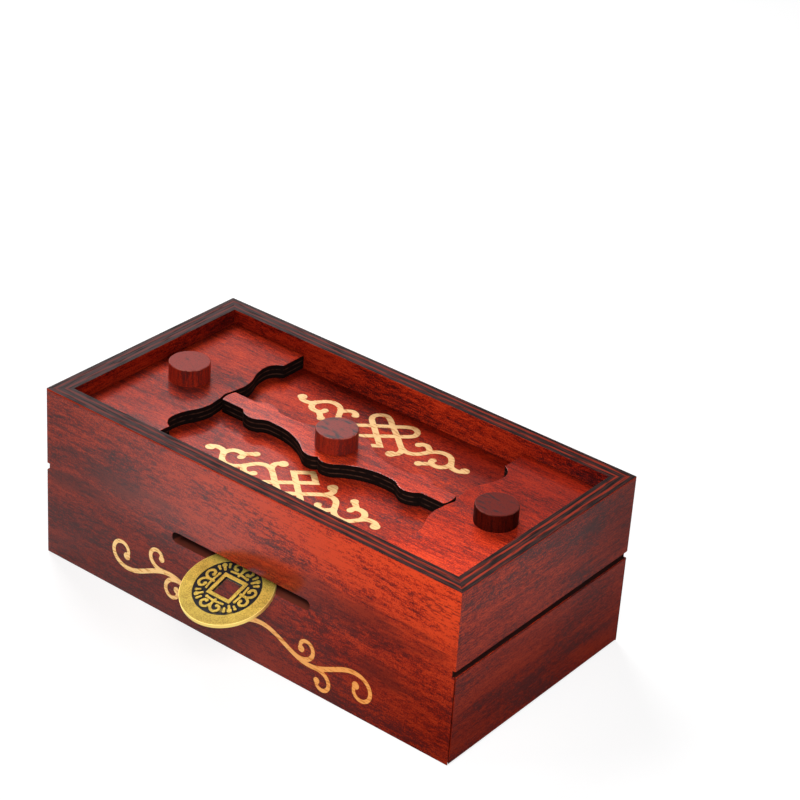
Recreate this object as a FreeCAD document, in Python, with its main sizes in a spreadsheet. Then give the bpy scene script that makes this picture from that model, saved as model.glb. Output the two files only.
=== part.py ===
# Wooden puzzle box: a sunk deck with two lift-off lids and a turning bar, above a drawer that the bar locks.
# Millimetres, X along the length, front towards -Y, +Z up, origin at the middle of the underside.
import FreeCAD, Part
import Sketcher
import math
import os
import re

# Driving dimensions
SIZES = {
    # Case of mitred boards
    "box_length": 160,
    "box_depth": 85,
    "box_height": 59,
    "wall": 6,
    "deck_drop": 10,
    "deck_thick": 5,
    "ceiling_rise": 2.6,
    "ceiling_thick": 3,
    "housing_depth": 2,
    "bottom_thick": 4,
    "bottom_rebate": 3,
    # Groove across both ends, which hides the drawer's upper edge on the right
    "seam_level": 31.4,
    "seam_height": 2.2,
    "seam_depth": 1,
    # Coin slot, its middle a little below the groove
    "slot_length": 54,
    "slot_height": 3.5,
    "slot_drop": 2,
    # Lids at both ends of the deck
    "panel_thick": 4.8,
    "panel_length": 30.3,
    "finger_width": 10.1,
    "cove_run": 4.9,
    "cove_depth": 3.5,
    "notch_width": 6.3,
    "notch_depth": 0.65,
    "well_cover": 1.8,
    "well_end_margin": 3,
    "well_side_margin": 8.5,
    "well_corner": 3,
    "well_wall": 2.5,
    "cleat_thick": 3.5,
    # Turning bar, measured from its tips inwards, widths across the bar
    "tip_entry": 0.3,
    "tip_round": 0.6,
    "neck_length": 8.6,
    "neck_width": 6.1,
    "bulge_run": 4.7,
    "bulge_width": 10.9,
    "bulge_fall": 6.5,
    "waist_length": 2.3,
    "waist_width": 6,
    "lobe_width": 19.7,
    "cleft_width": 17.2,
    "cleft_reach": 2.8,
    # Knobs and dowels
    "knob_diameter": 13.2,
    "knob_height": 5.8,
    "knob_edge": 0.5,
    "knob_inset": 14,
    "knob_lift": 0.5,
    "knob_socket": 4,
    "pivot_diameter": 6,
    "peg_diameter": 5,
    # Gate under the ceiling and the drawer that passes it
    "gate_diameter": 22,
    "gate_thick": 5,
    "gate_slot_width": 5.2,
    "gate_slot_depth": 2.4,
    "divider_thick": 4,
    "divider_setback": 1.5,
    "side_thick": 4,
    "side_drop": 1.65,
    "floor_thick": 3,
    "horn_rise": 4.5,
    "drawer_travel": 105,
    "stop_offset": 22,
    "stop_reach": 1,
    "kicker_thick": 4,
    "kicker_setback": 3,
    # Coin
    "coin_diameter": 29,
    "coin_thick": 1.3,
    "coin_rim": 4,
    "coin_field": 0.25,
    "coin_hole": 6.6,
    "coin_frame": 1.2,
    "coin_out": 9.75,
    "coin_shift": 1,
    "coin_tilt": 18,
    # Clearances
    "glue_gap": 0.05,
    "running_gap": 0.08,
    "seat_gap": 0.2,
    "slide_gap": 0.3,
}

# Places worked out from the driving dimensions
HALF_LENGTH = "(box_length / 2)"
HALF_DEPTH = "(box_depth / 2)"
BAY_X = "(box_length / 2 - wall)"
BAY_Y = "(box_depth / 2 - wall)"
DECK_TOP = "(box_height - deck_drop)"
DECK_UNDERSIDE = f"({DECK_TOP} - deck_thick)"
CEILING = "(seam_level + ceiling_rise)"
CEILING_TOP = f"({CEILING} + ceiling_thick)"
SEAM_LOW = "(seam_level - seam_height / 2)"
SEAM_HIGH = "(seam_level + seam_height / 2)"
SLOT_LEVEL = "(seam_level - slot_drop)"
PANEL_SEAT = f"({DECK_TOP} + seat_gap)"
PANEL_TOP = f"({PANEL_SEAT} + panel_thick)"
PANEL_EDGE = f"({BAY_X} - panel_length)"
BAR_REACH = f"({PANEL_EDGE} + tip_entry)"
SWEEP_RADIUS = f"({BAR_REACH} + slide_gap)"
KNOB_X = f"({BAY_X} - knob_inset)"
WELL_INNER = f"({PANEL_EDGE} + cove_depth + well_cover)"
WELL_OUTER = f"({BAY_X} - well_end_margin)"
WELL_SIDE = f"({BAY_Y} - well_side_margin)"
GATE_TOP = f"({CEILING} - slide_gap)"
GATE_BOTTOM = f"({GATE_TOP} - gate_thick)"
GATE_ROOF = f"({GATE_BOTTOM} + gate_slot_depth)"
DRAWER_BOTTOM = "(bottom_thick + slide_gap)"
DRAWER_FLOOR = f"({DRAWER_BOTTOM} + floor_thick)"
SIDE_TOP = f"({SLOT_LEVEL} - slot_height / 2 - side_drop)"
SIDE_OUTER = f"({BAY_Y} - slide_gap)"
SIDE_INNER = f"({SIDE_OUTER} - side_thick)"
REAR_OUTER = f"(-{BAY_X} + slide_gap)"
REAR_INNER = f"({REAR_OUTER} + side_thick)"
STOP_X = f"({REAR_INNER} + drawer_travel + peg_diameter / 2 + slide_gap)"

# How far along its flare the bar's outline turns from hollow to round
FLARE_SHARE = 0.8

ALIAS = re.compile(r"\b(" + "|".join(SIZES) + r")\b")

doc = FreeCAD.newDocument("PuzzleBox")
sheet = doc.addObject("Spreadsheet::Sheet", "Sizes")
for row, (alias, number) in enumerate(SIZES.items(), start=1):
    sheet.set(f"A{row}", alias)
    sheet.set(f"B{row}", str(number))
    sheet.setAlias(f"B{row}", alias)
doc.recompute()

sub_parts = []


def linked(expression):
    """Return an expression with each size's name pointing at its cell in the sheet."""
    return ALIAS.sub(r"Sizes.\1", expression)


def measure(expression):
    """Work out an expression of sizes as a number."""
    return float(sheet.evalExpression(linked(expression)))


def bind(item, prop, expression):
    """Tie a property of a document object to an expression of sizes."""
    item.setExpression(prop, linked(expression))


def sub_part(item, label):
    """Name a finished piece and list it for writing."""
    item.Label = label
    sub_parts.append(item)
    return item


def negative(expression):
    """Return the expression with the opposite sign."""
    return "0" if expression == "0" else f"-({expression})"


def step(x, y, radius=None, turn=0):
    """One step of an outline: a line to (x, y), or an arc that turns left (1) or right (-1)."""
    return (x, y, radius, turn)


def mirrored(path, across):
    """Return an outline's steps mirrored across the X or the Y axis, walked in the opposite direction."""
    flipped = []
    for x, y, radius, turn in path:
        flipped.append((x, negative(y), radius, turn) if across == "x" else (negative(x), y, radius, turn))
    back = [step(flipped[-1][0], flipped[-1][1])]
    for index in range(len(path) - 1, 0, -1):
        back.append(step(flipped[index - 1][0], flipped[index - 1][1], path[index][2], path[index][3]))
    return back


def joined(first, second):
    """Return two outlines as one, where the second starts at the first one's end."""
    return first + second[1:]


def closed(path):
    """Return an outline that ends where it starts without its first step, ready to draw."""
    return path[1:]


def bow(run, rise):
    """Return the radius of an arc that is level at one end and covers a run and a rise."""
    return f"((({run})^2 + ({rise})^2) / (2 * ({rise})))"


def ogee(start, end, across, share=0.5):
    """Return two steps that swing from start to end as tangent arcs, level at both ends.

    The curve leaves and arrives along X, or along Y where across is "y".
    The arcs meet at a share of the way along the line between the ends.
    """
    (x0, y0), (x1, y1) = start, end
    run, rise = f"(({x1}) - ({x0}))", f"(({y1}) - ({y0}))"
    turn = 1 if measure(run) * measure(rise) > 0 else -1
    meeting = (f"({x0}) + {share} * {run}", f"({y0}) + {share} * {rise}")
    if across == "y":
        run, rise, turn = rise, run, -turn
    radius = bow(run, f"abs({rise})")
    return [
        step(*meeting, f"{share} * {radius}", turn),
        step(x1, y1, f"{1 - share:g} * {radius}", -turn),
    ]


def rectangle(x, y, corner=None):
    """Return the outline of a rectangle between pairs of X and Y, with rounded corners if asked."""
    (x0, x1), (y0, y1) = x, y
    if corner is None:
        return [step(x0, y0), step(x1, y0), step(x1, y1), step(x0, y1)]
    left, right = f"({x0}) + {corner}", f"({x1}) - {corner}"
    low, high = f"({y0}) + {corner}", f"({y1}) - {corner}"
    return [
        step(left, y0, corner, 1),
        step(right, y0), step(x1, low, corner, 1),
        step(x1, high), step(right, y1, corner, 1),
        step(left, y1), step(x0, high, corner, 1),
        step(x0, low),
    ]


def new_sketch(body, name, plane, height="0"):
    """Add a sketch to a body on one of its own origin planes, raised by height along the plane's normal."""
    sketch = body.newObject("Sketcher::SketchObject", name)
    support = next(item for item in body.Origin.OriginFeatures if item.Role == plane)
    sketch.AttachmentSupport = [(support, "")]
    sketch.MapMode = "FlatFace"
    if height != "0":
        bind(sketch, "AttachmentOffset.Base.z", height)
    return sketch


def hold(sketch, axis, geometry, point, expression):
    """Fix one coordinate of a sketch point by an expression of sizes."""
    if expression == "0":
        line = -2 if axis == "X" else -1
        sketch.addConstraint(Sketcher.Constraint("PointOnObject", geometry, point, line))
        return
    place = measure(expression)
    ends = (-1, 1, geometry, point) if place >= 0 else (geometry, point, -1, 1)
    index = sketch.addConstraint(Sketcher.Constraint(f"Distance{axis}", *ends, abs(place)))
    sketch.setExpression(f"Constraints[{index}]", linked(expression if place >= 0 else f"-({expression})"))


def draw(sketch, path):
    """Draw a closed outline in a sketch, every corner and radius tied to the sheet."""
    points = [FreeCAD.Vector(measure(x), measure(y), 0) for x, y, radius, turn in path]
    edges = []
    for index, (x, y, radius, turn) in enumerate(path):
        start, end = points[index - 1], points[index]
        if radius is None:
            edges.append((sketch.addGeometry(Part.LineSegment(start, end), False), 1, 2))
            continue
        half = (end - start) * 0.5
        left = FreeCAD.Vector(-half.y, half.x, 0).normalize()
        sagitta = math.sqrt(max(measure(radius) ** 2 - half.Length ** 2, 0))
        centre = start + half + left * (turn * sagitta)
        first, last = (start, end) if turn > 0 else (end, start)
        angles = [math.atan2(point.y - centre.y, point.x - centre.x) for point in (first, last)]
        circle = Part.Circle(centre, FreeCAD.Vector(0, 0, 1), measure(radius))
        arc = sketch.addGeometry(Part.ArcOfCircle(circle, *angles), False)
        edges.append((arc, 1, 2) if turn > 0 else (arc, 2, 1))
    for index, (edge, tail, head) in enumerate(edges):
        before, before_tail, before_head = edges[index - 1]
        sketch.addConstraint(Sketcher.Constraint("Coincident", before, before_head, edge, tail))
        x, y, radius, turn = path[index]
        hold(sketch, "X", edge, head, x)
        hold(sketch, "Y", edge, head, y)
        if radius is not None:
            row = sketch.addConstraint(Sketcher.Constraint("Radius", edge, measure(radius)))
            sketch.setExpression(f"Constraints[{row}]", linked(radius))


def draw_circle(sketch, x, y, diameter):
    """Draw a circle in a sketch, its centre and diameter tied to the sheet."""
    centre = FreeCAD.Vector(measure(x), measure(y), 0)
    radius = measure(diameter) / 2
    ring = sketch.addGeometry(Part.Circle(centre, FreeCAD.Vector(0, 0, 1), radius), False)
    hold(sketch, "X", ring, 3, x)
    hold(sketch, "Y", ring, 3, y)
    row = sketch.addConstraint(Sketcher.Constraint("Diameter", ring, 2 * radius))
    sketch.setExpression(f"Constraints[{row}]", linked(diameter))


def pad(body, sketch, length):
    """Raise a sketch into a solid."""
    feature = body.newObject("PartDesign::Pad", f"{sketch.Name}Pad")
    feature.Profile = sketch
    bind(feature, "Length", length)
    doc.recompute()
    return feature


def pocket_through(body, sketch):
    """Cut a sketch right through a body, both ways, and make sure that it removes something."""
    before = body.Shape.Volume
    feature = body.newObject("PartDesign::Pocket", f"{sketch.Name}Pocket")
    feature.Profile = sketch
    feature.Type = "ThroughAll"
    feature.Midplane = True
    doc.recompute()
    if not body.Shape.Volume < before:
        raise RuntimeError(f"{sketch.Name} removes nothing")
    return feature


def pocket_up(body, sketch, depth):
    """Cut a sketch upwards into a body by a depth, and make sure that it removes something."""
    before = body.Shape.Volume
    feature = body.newObject("PartDesign::Pocket", f"{sketch.Name}Pocket")
    feature.Profile = sketch
    feature.Reversed = True
    bind(feature, "Length", depth)
    doc.recompute()
    if not body.Shape.Volume < before:
        raise RuntimeError(f"{sketch.Name} removes nothing")
    return feature


def board(label, paths, bottom, thickness, circles=()):
    """Build a flat board from its outline, the openings inside it and its round holes."""
    body = doc.addObject("PartDesign::Body", label)
    plan = new_sketch(body, f"{label}_plan", "XY_Plane", bottom)
    for path in paths:
        draw(plan, path)
    for x, y, diameter in circles:
        draw_circle(plan, x, y, diameter)
    pad(body, plan, thickness)
    return sub_part(body, label)


def block(name, x, y, z):
    """Make a box between pairs of X, Y and Z."""
    item = doc.addObject("Part::Box", name)
    for side, axis, (low, high) in zip(("Length", "Width", "Height"), "xyz", (x, y, z)):
        bind(item, side, f"({high}) - ({low})")
        bind(item, f"Placement.Base.{axis}", low)
    return item


def rod(name, diameter, x, y, z):
    """Make an upright cylinder between a pair of heights."""
    item = doc.addObject("Part::Cylinder", name)
    low, high = z
    bind(item, "Radius", f"({diameter}) / 2")
    bind(item, "Height", f"({high}) - ({low})")
    for axis, place in zip("xyz", (x, y, low)):
        bind(item, f"Placement.Base.{axis}", place)
    return item


def cut(name, base, tool):
    """Cut one shape from another."""
    item = doc.addObject("Part::Cut", name)
    item.Base = base
    item.Tool = tool
    return item


def turned_wall(body, angle):
    """Turn a wall from the front of the case to another side."""
    body.Placement = FreeCAD.Placement(FreeCAD.Vector(), FreeCAD.Rotation(FreeCAD.Vector(0, 0, 1), angle))


def mitred_wall(label, half_span, half_reach, z, angle=0):
    """Build a wall with mitred ends, as it stands at the front, and turn it to its side."""
    body = doc.addObject("PartDesign::Body", label)
    plan = new_sketch(body, f"{label}_plan", "XY_Plane", z[0])
    inner_span, inner_reach = f"({half_span} - wall)", f"({half_reach} - wall)"
    draw(plan, [
        step(negative(half_span), negative(half_reach)),
        step(half_span, negative(half_reach)),
        step(inner_span, negative(inner_reach)),
        step(negative(inner_span), negative(inner_reach)),
    ])
    pad(body, plan, f"({z[1]}) - ({z[0]})")
    turned_wall(body, angle)
    return sub_part(body, label)


def cut_housings(body, half_reach):
    """Cut the grooves for the deck and the ceiling along a wall's inner face."""
    inner = f"-({half_reach} - wall)"
    housings = new_sketch(body, f"{body.Name}_housings", "YZ_Plane")
    deep = f"{inner} - housing_depth"
    draw(housings, rectangle((deep, inner), (DECK_UNDERSIDE, f"{DECK_TOP} + glue_gap")))
    draw(housings, rectangle((deep, inner), (CEILING, f"{CEILING_TOP} + glue_gap")))
    pocket_through(body, housings)


def cut_bottom_rebate(body, half_reach, run):
    """Cut the rebate for the bottom board along a wall's lower inner edge, over a run of its length."""
    inner = f"-({half_reach} - wall)"
    rebate = new_sketch(body, f"{body.Name}_rebate", "XY_Plane")
    draw(rebate, rectangle(run, (f"{inner} - bottom_rebate", inner)))
    pocket_up(body, rebate, "bottom_thick + glue_gap")


def cut_seam(body, half_reach, z):
    """Cut the end groove, or one half of it, along a wall's outer face."""
    seam = new_sketch(body, f"{body.Name}_seam", "YZ_Plane")
    draw(seam, rectangle((negative(half_reach), f"-{half_reach} + seam_depth"), z))
    pocket_through(body, seam)


def long_wall(label, angle, with_slot):
    """Build the front or the back wall, nicked at both ends where the end grooves run out."""
    body = mitred_wall(label, HALF_LENGTH, HALF_DEPTH, ("0", "box_height"), angle)
    cut_housings(body, HALF_DEPTH)
    rebate_end = BAY_X if with_slot else HALF_LENGTH
    rebate_start = negative(HALF_LENGTH if with_slot else BAY_X)
    cut_bottom_rebate(body, HALF_DEPTH, (rebate_start, rebate_end))
    face = new_sketch(body, f"{label}_face", "XZ_Plane")
    nick = f"({HALF_LENGTH} - seam_depth)"
    draw(face, rectangle((nick, HALF_LENGTH), (SEAM_LOW, SEAM_HIGH)))
    draw(face, rectangle((negative(HALF_LENGTH), negative(nick)), (SEAM_LOW, SEAM_HIGH)))
    if with_slot:
        low, high = f"({SLOT_LEVEL} - slot_height / 2)", f"({SLOT_LEVEL} + slot_height / 2)"
        run = "(slot_length / 2 - slot_height / 2)"
        end = "slot_height / 2"
        draw(face, [
            step(run, low),
            step("slot_length / 2", SLOT_LEVEL, end, 1), step(run, high, end, 1),
            step(negative(run), high),
            step("-slot_length / 2", SLOT_LEVEL, end, 1), step(negative(run), low, end, 1),
        ])
    pocket_through(body, face)


def make_case():
    """Build the four walls, the three boards that they hold and the strips round the drawer bay."""
    long_wall("front_wall", 0, True)
    long_wall("back_wall", 180, False)
    left = mitred_wall("left_wall", HALF_DEPTH, HALF_LENGTH, ("0", "box_height"), -90)
    cut_housings(left, HALF_LENGTH)
    cut_bottom_rebate(left, HALF_LENGTH, (negative(HALF_DEPTH), HALF_DEPTH))
    cut_seam(left, HALF_LENGTH, (SEAM_LOW, SEAM_HIGH))
    upper_foot = "(seam_level + slide_gap / 2)"
    right = mitred_wall("right_upper_wall", HALF_DEPTH, HALF_LENGTH, (upper_foot, "box_height"), 90)
    cut_housings(right, HALF_LENGTH)
    cut_seam(right, HALF_LENGTH, (upper_foot, SEAM_HIGH))

    rebate = "bottom_rebate - glue_gap"
    long_side = f"({BAY_Y} + {rebate})"
    floor = block(
        "bottom_board",
        (f"-({BAY_X} + {rebate})", f"{BAY_X} - slide_gap"),
        (negative(long_side), long_side),
        ("0", "bottom_thick"),
    )
    sub_part(floor, "bottom_board")

    edge_x = f"({BAY_X} + housing_depth - glue_gap)"
    edge_y = f"({BAY_Y} + housing_depth - glue_gap)"
    sheet_edge = rectangle((negative(edge_x), edge_x), (negative(edge_y), edge_y))
    wells = []
    for side in (1, -1):
        ends = (WELL_INNER, WELL_OUTER) if side > 0 else (negative(WELL_OUTER), negative(WELL_INNER))
        wells.append(rectangle(ends, (negative(WELL_SIDE), WELL_SIDE), "well_corner"))
    pivot_hole = ("0", "0", "pivot_diameter + 2 * running_gap")
    board("deck_board", [sheet_edge] + wells, DECK_UNDERSIDE, "deck_thick", [pivot_hole])
    peg_holes = [(STOP_X, place, "peg_diameter + 2 * glue_gap") for place in ("stop_offset", "-stop_offset")]
    board("ceiling_board", [sheet_edge], CEILING, "ceiling_thick", [pivot_hole] + peg_holes)

    for label, well, side in zip(("right_well_frame", "left_well_frame"), wells, (1, -1)):
        outer = (f"{WELL_INNER} - well_wall", f"{WELL_OUTER} + well_wall")
        ends = outer if side > 0 else (negative(outer[1]), negative(outer[0]))
        breadth = (f"-({WELL_SIDE} + well_wall)", f"{WELL_SIDE} + well_wall")
        board(label, [rectangle(ends, breadth), well], CEILING_TOP, f"{DECK_UNDERSIDE} - {CEILING_TOP}")

    kicker_foot = f"{SIDE_TOP} + slide_gap"
    kicker_end = f"({BAY_X} - slide_gap)"
    slot_side = "(slot_length / 2 + kicker_setback)"
    runs = {
        "front_left_kicker": (negative(kicker_end), negative(slot_side), -1),
        "front_right_kicker": (slot_side, kicker_end, -1),
        "back_kicker": (negative(kicker_end), kicker_end, 1),
    }
    for label, (start, end, side) in runs.items():
        inner = f"{BAY_Y} - kicker_thick"
        across = (inner, BAY_Y) if side > 0 else (negative(BAY_Y), negative(inner))
        sub_part(block(label, (start, end), across, (kicker_foot, CEILING)), label)

    pegs = doc.addObject("Part::Compound", "drawer_stops")
    pegs.Links = [
        rod(f"stop_peg_{name}", "peg_diameter", STOP_X, place, (f"{SIDE_TOP} + stop_reach", CEILING_TOP))
        for name, place in (("back", "stop_offset"), ("front", "-stop_offset"))
    ]
    sub_part(pegs, "drawer_stops")


def make_knob(label, x, foot, peg):
    """Build a knob: a short plain dowel with its top edge eased and a blind socket for its peg."""
    body = doc.addObject("PartDesign::Body", label)
    plan = new_sketch(body, f"{label}_plan", "XY_Plane", foot)
    draw_circle(plan, x, "0", "knob_diameter")
    pad(body, plan, "knob_height")
    socket = new_sketch(body, f"{label}_socket", "XY_Plane", foot)
    draw_circle(socket, x, "0", f"{peg} + 2 * glue_gap")
    hole = pocket_up(body, socket, "knob_socket + slide_gap")
    top = measure(foot) + measure("knob_height")
    rims = [
        f"Edge{index}" for index, edge in enumerate(hole.Shape.Edges, start=1)
        if all(abs(vertex.Z - top) < 1e-6 for vertex in edge.Vertexes)
    ]
    eased = body.newObject("PartDesign::Chamfer", f"{label}_edge")
    eased.Base = (hole, rims)
    bind(eased, "Size", "knob_edge")
    doc.recompute()
    return sub_part(body, label)


def lid_outline(side):
    """Return a lid's outline: two fingers and an ogee edge, notched in the middle for the bar's tip."""
    breadth = f"({BAY_Y} - slide_gap)"
    far = f"({BAY_X} - slide_gap)"
    finger = f"({BAY_Y} - finger_width)"
    cove = (f"({PANEL_EDGE} + cove_depth)", f"({finger} - cove_run)")
    brow = (PANEL_EDGE, f"(sqrt({SWEEP_RADIUS}^2 - {PANEL_EDGE}^2))")
    path = [
        step(f"{SWEEP_RADIUS} + notch_depth", "0"),
        step(f"sqrt({SWEEP_RADIUS}^2 - (notch_width / 2)^2)", "notch_width / 2"),
        step(*brow, SWEEP_RADIUS, 1),
        *ogee(brow, cove, "y"),
        step(PANEL_EDGE, finger, bow("cove_run", "cove_depth"), 1),
        step(PANEL_EDGE, breadth),
        step(far, breadth),
        step(far, "0"),
    ]
    whole = joined(path, mirrored(path, "x"))
    return closed(whole if side > 0 else mirrored(whole, "y"))


def make_lid(name, side):
    """Build a lift-off lid: ogee panel, knob with its dowel, and the cleat that drops into the well."""
    place = KNOB_X if side > 0 else negative(KNOB_X)
    peg_hole = [(place, "0", "peg_diameter + 2 * glue_gap")]
    board(f"{name}_panel", [lid_outline(side)], PANEL_SEAT, "panel_thick", peg_hole)
    ends = (f"{WELL_INNER} + slide_gap", f"{WELL_OUTER} - slide_gap")
    ends = ends if side > 0 else (negative(ends[1]), negative(ends[0]))
    half = f"({WELL_SIDE} - slide_gap)"
    cleat = rectangle(ends, (negative(half), half), "(well_corner - slide_gap)")
    foot = f"({PANEL_SEAT} - cleat_thick)"
    board(f"{name}_cleat", [cleat], foot, "cleat_thick", peg_hole)
    make_knob(f"{name}_knob", place, PANEL_TOP, "peg_diameter")
    peg = rod(f"{name}_knob_dowel", "peg_diameter", place, "0", (foot, f"{PANEL_TOP} + knob_socket"))
    sub_part(peg, f"{name}_knob_dowel")


def bar_outline():
    """Return the bar's outline, mirrored both ways from one quarter that runs from tip to cleft."""
    shoulder = f"({BAR_REACH} - tip_round)"
    neck_end = f"({shoulder} - neck_length)"
    crown = (f"({neck_end} - bulge_run)", "(bulge_width / 2)")
    waist = (f"({crown[0]} - bulge_fall)", "(waist_width / 2)")
    waist_end = (f"({waist[0]} - waist_length)", "(waist_width / 2)")
    lobe = ("cleft_reach", "(lobe_width / 2)")
    quarter = [
        step(BAR_REACH, "0"),
        step(shoulder, "neck_width / 2", bow("neck_width / 2", "tip_round"), 1),
        step(neck_end, "neck_width / 2"),
        step(*crown, bow("bulge_run", "(bulge_width - neck_width) / 2"), 1),
        *ogee(crown, waist, "x"),
        step(*waist_end),
        *ogee(waist_end, lobe, "x", FLARE_SHARE),
        step("0", "cleft_width / 2", bow("cleft_reach", "(lobe_width - cleft_width) / 2"), 1),
    ]
    back_half = joined(quarter, mirrored(quarter, "y"))
    return closed(joined(back_half, mirrored(back_half, "x")))


def make_turn_bar():
    """Build the bar, its knob, the dowel down through the deck and the slotted gate at its foot."""
    glued_hole = [("0", "0", "pivot_diameter + 2 * glue_gap")]
    board("centre_bar", [bar_outline()], PANEL_SEAT, "panel_thick", glued_hole)
    knob_foot = f"({PANEL_TOP} + knob_lift)"
    make_knob("centre_knob", "0", knob_foot, "pivot_diameter")
    pivot = rod("pivot_dowel", "pivot_diameter", "0", "0", (GATE_ROOF, f"{knob_foot} + knob_socket"))
    sub_part(pivot, "pivot_dowel")
    half_slot = "gate_slot_width / 2"
    half_gate = "gate_diameter / 2"
    disc = rod("gate_round", "gate_diameter", "0", "0", (GATE_BOTTOM, GATE_TOP))
    slot = block(
        "gate_slot",
        (negative(half_gate), half_gate),
        (negative(half_slot), half_slot),
        (GATE_BOTTOM, GATE_ROOF),
    )
    bore = rod("gate_bore", "pivot_diameter + 2 * glue_gap", "0", "0", (GATE_ROOF, GATE_TOP))
    sub_part(cut("gate_disc", cut("gate_slotted", disc, slot), bore), "gate_disc")


def make_drawer():
    """Build the drawer: its mitred front, two sides, a horned rear, the floor and the lengthwise divider."""
    front_top = "(seam_level - slide_gap / 2)"
    span = f"({HALF_DEPTH} - slide_gap)"
    front = mitred_wall("drawer_front", span, HALF_LENGTH, ("slide_gap", front_top), 90)
    cut_seam(front, HALF_LENGTH, (SEAM_LOW, front_top))
    upright = (DRAWER_BOTTOM, SIDE_TOP)
    for label, across in (
        ("drawer_back_side", (SIDE_INNER, SIDE_OUTER)),
        ("drawer_front_side", (negative(SIDE_OUTER), negative(SIDE_INNER))),
    ):
        sub_part(block(label, (REAR_OUTER, BAY_X), across, upright), label)
    between = (negative(SIDE_INNER), SIDE_INNER)
    horns = f"({SIDE_TOP} + horn_rise)"
    pass_half = "(gate_diameter / 2 + divider_setback)"
    rear = block("rear_blank", (REAR_OUTER, REAR_INNER), between, (DRAWER_BOTTOM, horns))
    passage = (negative(pass_half), pass_half)
    notch = block("rear_notch", (REAR_OUTER, REAR_INNER), passage, (SIDE_TOP, horns))
    sub_part(cut("drawer_rear", rear, notch), "drawer_rear")
    floor = block("drawer_floor", (REAR_INNER, BAY_X), between, (DRAWER_BOTTOM, DRAWER_FLOOR))
    sub_part(floor, "drawer_floor")
    half = "divider_thick / 2"
    divider = block(
        "drawer_divider",
        (REAR_INNER, negative(pass_half)),
        (negative(half), half),
        (DRAWER_FLOOR, f"{GATE_ROOF} - slide_gap"),
    )
    sub_part(divider, "drawer_divider")


def make_coin():
    """Build the coin: a rimmed disc with a framed square hole, tilted where it stands in the slot."""
    body = doc.addObject("PartDesign::Body", "coin")
    profile = new_sketch(body, "coin_profile", "XZ_Plane")
    rim_inner = "(coin_diameter / 2 - coin_rim)"
    face = "(coin_thick / 2 - coin_field)"
    upper = [
        step("coin_diameter / 2", "0"),
        step("coin_diameter / 2", "coin_thick / 2"),
        step(rim_inner, "coin_thick / 2"),
        step(rim_inner, face),
        step("0", face),
    ]
    draw(profile, joined(mirrored(upper, "x"), upper))
    turned = body.newObject("PartDesign::Revolution", "coin_turned")
    turned.Profile = profile
    turned.ReferenceAxis = (profile, ["V_Axis"])
    turned.Angle = 360
    doc.recompute()
    edging = new_sketch(body, "coin_edging", "XY_Plane")
    outer = "(coin_hole / 2 + coin_frame)"
    draw(edging, rectangle((negative(outer), outer), (negative(outer), outer)))
    pad(body, edging, "coin_thick").Midplane = True
    hole = new_sketch(body, "coin_square", "XY_Plane")
    half = "coin_hole / 2"
    draw(hole, rectangle((negative(half), half), (negative(half), half)))
    pocket_through(body, hole)
    body.Placement = FreeCAD.Placement(FreeCAD.Vector(), FreeCAD.Rotation(FreeCAD.Vector(1, 0, 0), 1))
    bind(body, "Placement.Rotation.Angle", "coin_tilt * 1 deg")
    bind(body, "Placement.Base.x", "coin_shift")
    bind(body, "Placement.Base.y", f"-({HALF_DEPTH} - wall / 2 + coin_out * cos(coin_tilt * 1 deg))")
    bind(body, "Placement.Base.z", f"{SLOT_LEVEL} - coin_out * sin(coin_tilt * 1 deg)")
    sub_part(body, "coin")


def check_document():
    """Stop if any object failed, or any sub-part has no valid shape."""
    for item in doc.Objects:
        if {"Invalid", "Error"} & set(item.State):
            raise RuntimeError(f"{item.Label} failed: {item.State}")
    for item in sub_parts:
        if item.Shape.isNull() or not item.Shape.isValid():
            raise RuntimeError(f"{item.Label} has no valid shape")


def write_parts():
    """Write every sub-part to its own file."""
    os.makedirs("parts", exist_ok=True)
    for item in sub_parts:
        item.Shape.exportStep(f"parts/{item.Label}.step")
        print(f"{item.Label}: {len(item.Shape.Solids)} solid, {item.Shape.Volume:.1f} mm3")


make_case()
make_lid("left", -1)
make_lid("right", 1)
make_turn_bar()
make_drawer()
make_coin()
doc.recompute()
check_document()
write_parts()
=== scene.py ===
"""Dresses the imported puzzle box: stained veneer, burnt ply edges, gilt ornament and an old brass coin."""
import logging
import math
from collections.abc import Callable, Iterable
from dataclasses import astuple, dataclass, field, replace
from enum import Enum
from functools import reduce
from operator import or_

import bpy
from mathutils import Matrix, Vector


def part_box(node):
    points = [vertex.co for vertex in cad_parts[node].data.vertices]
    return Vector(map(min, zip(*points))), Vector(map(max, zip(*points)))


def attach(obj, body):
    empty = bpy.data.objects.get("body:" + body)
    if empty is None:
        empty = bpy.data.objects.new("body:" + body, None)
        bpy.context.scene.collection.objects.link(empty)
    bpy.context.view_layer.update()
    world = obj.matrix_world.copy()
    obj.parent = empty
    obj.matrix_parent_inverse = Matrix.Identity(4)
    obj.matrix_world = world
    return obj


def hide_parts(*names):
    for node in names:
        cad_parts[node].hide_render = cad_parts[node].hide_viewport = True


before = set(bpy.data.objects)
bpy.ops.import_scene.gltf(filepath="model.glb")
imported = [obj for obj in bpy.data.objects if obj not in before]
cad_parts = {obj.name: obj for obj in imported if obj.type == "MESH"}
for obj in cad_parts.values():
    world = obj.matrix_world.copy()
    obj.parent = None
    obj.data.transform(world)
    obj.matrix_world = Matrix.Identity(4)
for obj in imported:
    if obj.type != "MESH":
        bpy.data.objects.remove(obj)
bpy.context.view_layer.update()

MM = 0.001
NEAR = 0.01
WELD_REACH = 0.002
FLAT_ANGLE = 0.3
SHARP_ANGLE = 40.0
RIGHT, UP = 0, 2
LOG = logging.getLogger("puzzle_box")

# Numbers of a colour mix node's sockets, which share their names with those for plain values.
MIX_FACTOR, MIX_FIRST, MIX_SECOND, MIX_RESULT = 0, 6, 7, 2

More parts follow.
